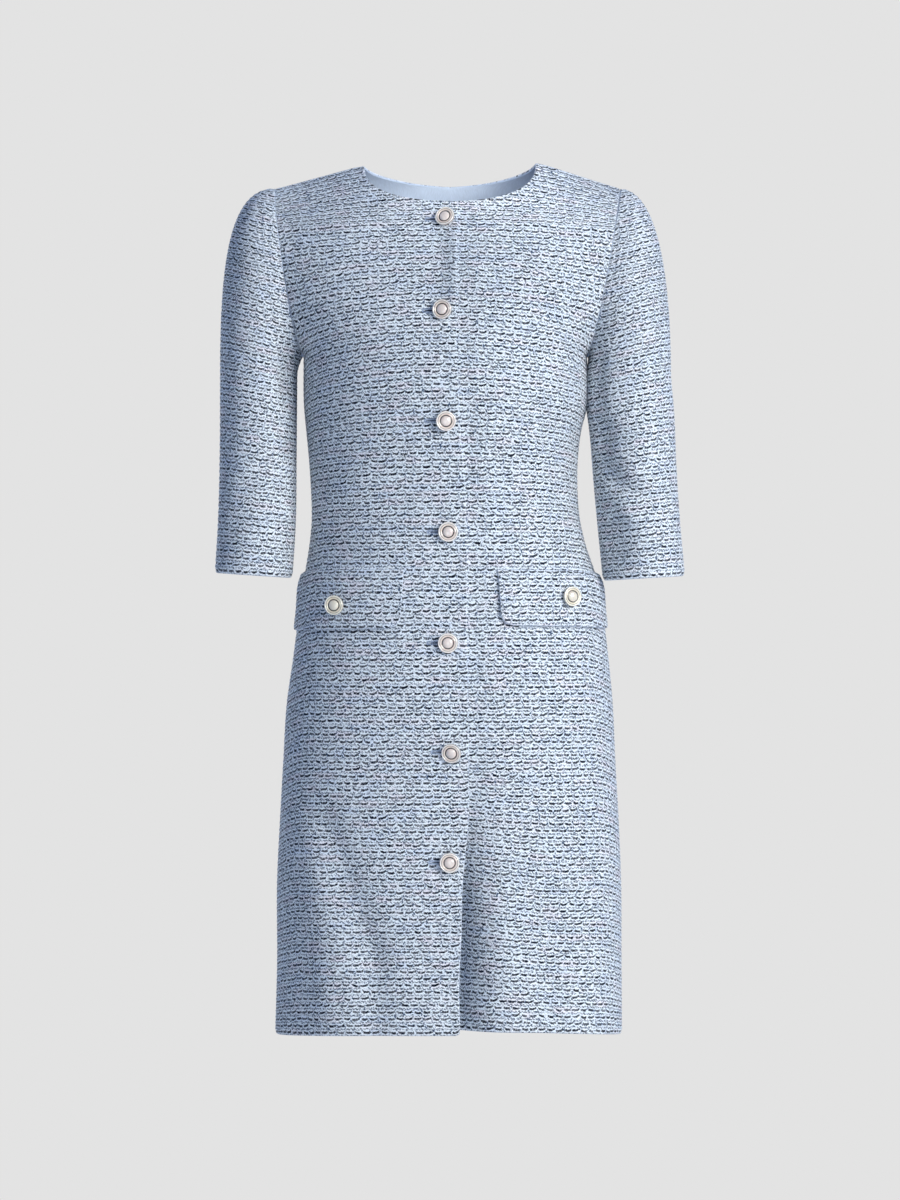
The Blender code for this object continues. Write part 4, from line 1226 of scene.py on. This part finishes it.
def sleeve_sheet(name, side):
    """Both grids of a sleeve."""
    columns = round(SLEEVE_ROUND / COLUMN_MM)
    around = with_edges(np.linspace(0, 1, columns + 1), 1.0, float(SLEEVE_ROUND))
    samples = np.linspace(1, 0, SLEEVE_SAMPLES)
    grid_around, grid_down = np.meshgrid(around, samples, indexing="ij")
    reached = np.maximum.accumulate(sleeve_rows_up(side, sleeve(side, grid_around, grid_down)), axis=1)
    whole = math.floor(reached[:, -1].min()) - 1
    lines = np.concatenate((EDGE_LINES / ROW_MM, np.arange(1, whole * LINES_A_ROW + 1) / LINES_A_ROW))
    low = np.array([np.interp(lines, rows + (1 - samples) * 1e-6, samples) for rows in reached])
    cap = np.linspace(1, 0, CAP_LINES + 1)[None, 1:] * low[:, -1:]
    close = cap[:, -2:-1] * CAP_CLOSE
    down = np.concatenate((np.ones((len(around), 1)), low, cap[:, :-1], close, cap[:, -1:]), axis=1)
    grid_around = np.broadcast_to(around[:, None], down.shape)
    plain, direction = folded_sleeve(name, side, grid_around, down)
    rows_up = sleeve_rows_up(side, plain)
    along = sleeve_along(side, plain)
    across, height = run_length(plain, 0), run_length(plain, 1)
    to_seam = np.minimum(np.minimum(across, across[-1:] - across), height[:, -1:] - height)
    plain = plain - direction * hem_turn(height)[..., None]
    deeper = np.where(to_seam < height, seam_depth(side, plain[..., 2]), 1.0)
    through = -direction * WALL
    through = np.where((down < 1e-9)[..., None], armhole_allowance(side, plain), through)
    through = np.where((down > 1 - 1e-9)[..., None], unit(through * (1, 1, 0)) * WALL, through)
    sheet = clothe(plain, direction, through, along, rows_up, to_seam, height,
                   every(6, down.shape[1]), deeper)
    return sheet, plain, across, height


for name, side in (("sleeve_right", -1), ("sleeve_left", 1)):
    knit_piece(name, *sleeve_sheet(name, side))

# %% [markdown]
# ## Pocket flaps and the back neck facing
# A flap is a small panel laid on its front: the front's own points, moved out. Its lower corners
# are rounded, its lower edge stands off a little, and its top edge thins out where it is sewn on.
# The facing lies inside the back neck, made from the back's points moved in.

# %% Pocket flaps
Flap = namedtuple("Flap", "front inner_x outer_share top_z bottom_z width")
FLAPS = {
    "pocket_flap_right": Flap("front_right", -47.5, 0.962, -425.0, -487.0, 148.0),
    "pocket_flap_left": Flap("front_left", 48.4, 0.955, -425.0, -484.0, 152.0),
}
FLAP_THICK = 2.6
FLAP_CORNER = 11.0
FLAP_SPREAD = 0.55
FLAP_LIFT = (0.5, 2.4)       # how far the flap stands off the front, at its top and at its bottom
FLAP_SWELL = 2.6             # and how much further near its upper outer corner
FLAP_SEWN = (1.0, 0.6, 4.0)  # where it is sewn on it is this high and thick, over this much height
FLAP_PHASE = 0.35            # its knit rows are this much out of step with the front's
FLAP_SHIFT = 4.0             # and its stitches this much
FLAP_CLOSER = 0.6            # how much closer to the front it lies towards the side seam
NEWTON_STEPS = 10


def flap_lift(along, up):
    """The gap below a flap: wider at its lower edge and near its upper outer corner."""
    swell = FLAP_SWELL * along ** 2 * np.sin(math.pi * up ** 2)
    return mix(FLAP_LIFT[1], FLAP_LIFT[0], up) * (1 - FLAP_CLOSER * along ** 2) + swell


def slopes_at(name, across, row):
    """A front's point, and how it moves with across and with row."""
    here = front(name, across, row)[0][0]
    by_across = (front(name, across + SMALL, row)[0][0] - here) / SMALL
    by_row = (front(name, across, row + SMALL)[0][0] - here) / SMALL
    return here, by_across, by_row


def locate(name, x, z):
    """The across and row of the point of a front that is seen at x and z, by Newton's steps."""
    side = FRONTS[name].side
    across = np.array([0.1 if side * x < 60 else 0.5])
    row = np.array([(z - HEM_SIDE_Z) * ROW_A_MM])
    for _ in range(NEWTON_STEPS):
        here, by_across, by_row = slopes_at(name, across, row)
        slopes = np.array(((by_across[0], by_row[0]), (by_across[2], by_row[2])))
        step = np.linalg.solve(slopes, (x - here[0], z - here[2]))
        across = np.clip(across + np.clip(step[0], -0.3, 0.3), 0.0, 0.97)
        row = np.clip(row + np.clip(step[1], -0.3, 0.3), 0.0, 1.97)
    return across, row


def flap_sheet(own, columns=58, lines=34):
    """Both grids of a pocket flap."""
    along = with_edges(np.linspace(0, 1, columns + 1), 1.0, 110.0)
    up = with_edges(np.linspace(0, 1, lines + 1), 1.0, 60.0)
    along, up = np.meshgrid(along, up, indexing="ij")
    first, top_row = locate(own.front, own.inner_x, own.top_z)
    spread = mix(along, ease(along), FLAP_SPREAD)
    across = mix(first[0], own.outer_share, spread)
    cut = round_off(FLAP_CORNER, np.minimum(spread, 1 - spread) * own.width)
    row = top_row[0] - (1 - up) * (own.top_z - own.bottom_z - cut) * ROW_A_MM
    place, direction = front(own.front, across, row)
    free = ease((1 - up) * (own.top_z - own.bottom_z) / FLAP_SEWN[2])
    plain = place + direction * mix(FLAP_SEWN[0], FLAP_THICK + flap_lift(spread, up), free)[..., None]
    length, height = run_length(plain, 0), run_length(plain, 1)
    to_free = np.minimum(np.minimum(length, length[-1:] - length), height)
    rows_up = knit_row(place[..., 2] + sag(place[..., 2], across)) + FLAP_PHASE
    stitches = FRONTS[own.front].side * length + FLAP_SHIFT
    through = -direction * mix(FLAP_SEWN[1], FLAP_THICK, free)[..., None]
    sheet = clothe(plain, direction, through, stitches, rows_up, height[:, -1:] - height, to_free,
                   every(5, up.shape[1]))
    return sheet, plain, length, height


for name, own in FLAPS.items():
    knit_piece(name, *flap_sheet(own))

# %% Back neck facing
FACING_THICK = 1.2
FACING_GAP = 0.5
FACING_DEEP = 0.13
FACING_WIDE = 0.40
FACING_END = (1.97, 1.99)


def facing_sheet(side, columns=70, lines=14):
    """Half of the facing, from the middle of the neck to a shoulder seam."""
    away, up = np.meshgrid(np.linspace(0, 1, columns + 1), np.linspace(0, 1, lines + 1), indexing="ij")
    meet = neck_row(BACK_NECK)
    top_row = mix(meet, FACING_END[1], away)
    low_row = mix(meet - FACING_DEEP, FACING_END[0], away ** 1.5)
    low_across = FACING_WIDE * np.sin(away * math.pi / 2)
    place, direction = back(side, mix(low_across, 0.0, up), mix(low_row, top_row, up))
    plain = place - direction * (WALL + FACING_GAP)
    length, height = run_length(plain, 0), run_length(plain, 1)
    cloth = points(side * length, height, np.minimum(height, height[:, -1:] - height))
    inner = plain - direction * FACING_THICK
    return Sheet(plain, inner, cloth, cloth, np.arange(lines + 1)), length, height


halves = []
facing_area = 0.0
for side in (-1, 1):
    sheet, along, height = facing_sheet(side)
    halves.append(sheet)
    facing_area += area_of(sheet.outer)
made = shell("back_neck_facing_cloth", halves, [facing_cloth, facing_cloth])
dress_piece(made, "back_neck_facing", cut_size(along, height, 2), facing_area)

# %% [markdown]
# ## Buttons
# A button is turned: a short shank, a rim of two stacked discs, a fine ring cut in its face, a cream
# band, a dark groove, and a pearl dome in the middle. Spinning one profile makes it. Each point
# keeps its radius in an attribute, and the material picks the tone of each ring from it. The turned
# button is then moved on to the cloth. It leans, as a button on a shank does, by the two angles
# read from its own shading in the photograph.

# %% Button material
GROOVE_BROWN = srgb(40, 28, 22)
# Painted shade, in brown: in the fine ring cut, round the outer edge, and where a button turns away from
# the view.
PAINTED_SHADE_BROWN = srgb(84, 66, 52)


def pearl_material(name, rim, band, dome):
    """Pearl in rings: cloudy, with painted shade in brown in its fine ring, round its outer edge and
    where it faces away, under a clear coat.
    """
    made, tree, shader = new_material(name, Roughness=0.22, Coat_Weight=1.0, Coat_Roughness=0.06,
                                      Coat_IOR=1.9, Subsurface_Weight=0.04, Subsurface_Scale=0.001)
    radius = read(tree, "ShaderNodeAttribute", "Fac", attribute_name="radius")
    rings = dome
    # The brown from 8.15 to 8.5 mm and past 10.1 mm is painted shade, in the fine ring cut and on the
    # outer edge.
    for start, end, share, tone in (          # from the dome outwards, in millimetres
            (5.2, 5.4, 1.0, GROOVE_BROWN), (6.2, 6.5, 1.0, band), (8.15, 8.3, 1.0, PAINTED_SHADE_BROWN),
            (8.5, 8.65, 1.0, rim), (10.1, 10.25, 0.75, PAINTED_SHADE_BROWN)):
        rings = blend_colour(tree, radius.step(start, end, 0.0, share), rings, tone)
    # Painted shade: browner where the surface turns away from the view.
    turned = read(tree, "ShaderNodeLayerWeight", "Facing", {0: 0.35})
    shaded = blend_colour(tree, turned * 0.3, rings, PAINTED_SHADE_BROWN)
    cloudy = noise_on(tree, 210.0, detail=3.0).step(0.35, 0.65, 0.9, 1.0)
    link_all(tree, shader, blend_colour(tree, 1.0, shaded, cloudy, "MULTIPLY"))
    return made


PEARLS = {
    "placket": pearl_material("placket_pearl", srgb(252, 243, 232), srgb(240, 222, 206),
                              srgb(244, 228, 216)),
    "flap": pearl_material("flap_pearl", srgb(252, 246, 226), srgb(240, 228, 200), srgb(244, 234, 212)),
}

# %% Button profile and placing
BUTTONS = table(
    "name on x z lean_left lean_up",
    ("placket_button_1", "front_right", -4.1, -61.8, -20, 24),
    ("placket_button_2", "front_right", -7.0, -158.1, -17, 5),
    ("placket_button_3", "front_right", -4.6, -272.0, 5, -4),
    ("placket_button_4", "front_right", -1.7, -386.6, -3, 1),
    ("placket_button_5", "front_right", -2.1, -501.0, -2, -3),
    ("placket_button_6", "front_right", 2.2, -613.4, -14, -16),
    ("placket_button_7", "front_right", -0.2, -726.8, -3, -5),
    ("flap_button_right", "pocket_flap_right", -115.4, -462.7, -20, -2),
    ("flap_button_left", "pocket_flap_left", 121.5, -454.0, 28, 3),
)
BUTTON_CLEAR = 0.35
SHANK_RADIUS = 3.2
BUTTON_STEPS = 56
BUTTON_PROFILE = (           # radius and height, up to the dome
    (0.0, 0.0), (3.0, 0.0), (3.2, 0.3), (3.2, 2.3), (9.0, 2.5), (9.7, 2.75), (10.15, 3.2),
    (10.25, 3.7), (10.05, 3.95), (10.0, 4.1), (10.25, 4.3), (10.4, 4.7), (10.35, 5.2), (10.1, 5.6),
    (9.7, 5.85), (9.2, 5.92), (8.8, 5.8), (8.6, 5.6), (8.4, 5.45), (8.2, 5.6), (7.95, 5.8),
    (7.5, 5.88), (7.0, 5.8), (6.6, 5.5), (6.3, 5.1), (6.0, 4.9), (5.6, 4.85), (5.35, 5.0),
)
DOME_RADIUS = 5.25
DOME_LOW, DOME_TOP = 5.15, 7.25
DOME_STEPS = 9


def button_profile():
    """The turned outline, ending in the dome."""
    dome = [(DOME_RADIUS * math.cos(angle), mix(DOME_LOW, DOME_TOP, math.sin(angle)))
            for angle in np.linspace(0, math.pi / 2, DOME_STEPS)]
    return BUTTON_PROFILE + tuple(dome)


def lift_on(own, across, z):
    """How far the cloth that a button sits on stands off the front."""
    if own is None:
        return 0.0
    first = locate(own.front, own.inner_x, own.top_z)[0]
    along = (across - first) / (own.outer_share - first)
    up = (z - own.bottom_z) / (own.top_z - own.bottom_z)
    return float(FLAP_THICK + flap_lift(along, up)[0])


def make_button(button, pearl):
    """Turn a button and move it on to its cloth."""
    own = FLAPS.get(button.on)
    front_name = own.front if own else button.on
    across, row = locate(front_name, button.x, button.z)
    place, direction = front(front_name, across, row)
    lean, tip = math.radians(button.lean_left), math.radians(button.lean_up)
    axis = np.array((math.sin(lean) * math.cos(tip), -math.cos(lean) * math.cos(tip), math.sin(tip)))
    leaning = math.sqrt(max(0.0, 1 - float(axis @ direction[0]) ** 2))
    lift = lift_on(own, across, button.z) + BUTTON_CLEAR + SHANK_RADIUS * leaning
    centre = place[0] + direction[0] * lift
    mesh = bmesh.new()
    kept_radius = mesh.verts.layers.float.new("radius")
    for radius, height in button_profile():
        mesh.verts.new((radius, 0.0, height))
    mesh.verts.ensure_lookup_table()
    for one, other in zip(mesh.verts[:-1], mesh.verts[1:]):
        mesh.edges.new((one, other))
    bmesh.ops.spin(mesh, geom=mesh.verts[:] + mesh.edges[:], cent=(0, 0, 0), axis=(0, 0, 1),
                   angle=2 * math.pi, steps=BUTTON_STEPS, use_merge=True)
    bmesh.ops.remove_doubles(mesh, verts=mesh.verts[:], dist=0.001)
    bmesh.ops.recalc_face_normals(mesh, faces=mesh.faces[:])
    side_way = unit(np.cross((0.0, 0.0, 1.0), axis))
    turn_to = np.array((side_way, np.cross(axis, side_way), axis))
    for vertex in mesh.verts:
        vertex[kept_radius] = math.hypot(vertex.co.x, vertex.co.y)
        vertex.co = (np.array(vertex.co) @ turn_to + centre) * MM
    return make_object(mesh, button.name + "_pearl", [pearl], crease=50)


# %% Make the buttons
for button in BUTTONS:
    made = make_button(button, PEARLS["flap" if button.on in FLAPS else "placket"])
    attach(made, "root")
    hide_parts(button.name)

# %% [markdown]
# ## Buttonholes
# The seven buttonholes lie level, each from just past its button's shank towards the wearer's
# right, so a button covers the first half of its hole and the rest shows beside it. Two rows of
# short upright stitches edge a slit, which is a dark sheet of painted shade, and a few stitches fan
# round its end. Each stitch is a small stretched ball, laid on the cloth by the front's own surface.
# The two upper holes are pulled open a little, as in the photograph.

# %% Stitch material
yarn, tree, shader = new_material("buttonhole_yarn", Roughness=0.8, Sheen_Weight=0.3,
                                  Specular_IOR_Level=0.2)
strands = noise_on(tree, 900.0).step(0.3, 0.7)
link_all(tree, shader, blend_colour(tree, strands, srgb(110, 128, 158), srgb(188, 202, 222)))
# The slit is a dark sheet of painted shade, where the gap through the cloth lies in shadow.
slit_shade, tree, shader = new_material("slit_shade", Roughness=0.95)
link_all(tree, shader, blend_colour(tree, noise_on(tree, 700.0), srgb(8, 12, 26), srgb(30, 38, 62)))

# %% Make the buttonholes
HOLE = (1.5, -20.5)          # from here to here along the cloth, measured from the button's middle
STITCH = (0.5, 1.25, 0.35)   # half sizes of a stitch: along the slit, across it, and out of the cloth
STITCH_STEP = 1.15
STITCH_OUT = 0.25            # a stitch's middle is this far off the cloth
SLIT = (0.35, 0.25, 0.12)    # the slit's room across, its half thickness, and its middle off the cloth
OPEN = (0.62, 0.62, 0.3, 0.3, 0.3, 0.3, 0.3)     # half width of each dark slit
END_STITCHES = 5

def stitch_places(half_open):
    """Middle and turn of each stitch round a hole."""
    start, end = HOLE
    edge = half_open + STITCH[1] * 0.8
    for x in np.arange(end, start + 0.01, STITCH_STEP):
        yield x, edge, 0.0
        yield x, -edge, 0.0
    for step in range(END_STITCHES):
        angle = math.pi * (0.5 + (step + 0.5) / END_STITCHES)
        yield end - 0.4 + edge * math.cos(angle), edge * math.sin(angle), angle - math.pi / 2


def make_buttonhole(button, half_open, name):
    """The stitches and the slit of one buttonhole, laid on the front."""
    across, row = locate(button.on, button.x, button.z)
    mm_across, mm_row = (np.linalg.norm(slope) for slope in slopes_at(button.on, across, row)[1:])
    mesh = bmesh.new()
    for x, z, turn in stitch_places(half_open):
        ball = bmesh.ops.create_icosphere(mesh, subdivisions=1, radius=1.0)["verts"]
        for vertex in ball:
            a, b, out = (size * value for size, value in zip(STITCH, vertex.co))
            vertex.co = (x + a * math.cos(turn) - b * math.sin(turn),
                         z + a * math.sin(turn) + b * math.cos(turn), out + STITCH_OUT)
    slit = bmesh.ops.create_icosphere(mesh, subdivisions=2, radius=1.0)["verts"]
    for vertex in slit:
        vertex.co = (sum(HOLE) / 2 + vertex.co.x * (HOLE[0] - HOLE[1]) / 2,
                     vertex.co.y * (half_open + SLIT[0]), vertex.co.z * SLIT[1] + SLIT[2])
    for face in {face for vertex in slit for face in vertex.link_faces}:
        face.material_index = 1
    spots = np.array([tuple(vertex.co) for vertex in mesh.verts])
    side = FRONTS[button.on].side
    place, direction = front(button.on, across + side * spots[:, 0] / mm_across,
                             row + spots[:, 1] / mm_row)
    for vertex, spot, out, height in zip(mesh.verts, place, direction, spots[:, 2]):
        vertex.co = (spot + out * height) * MM
    bmesh.ops.recalc_face_normals(mesh, faces=mesh.faces[:])
    return make_object(mesh, name, [yarn, slit_shade], crease=180)


for number, (button, half_open) in enumerate(zip(BUTTONS, OPEN), start=1):
    made = make_buttonhole(button, half_open, f"buttonhole_{number}")
    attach(made, "root")
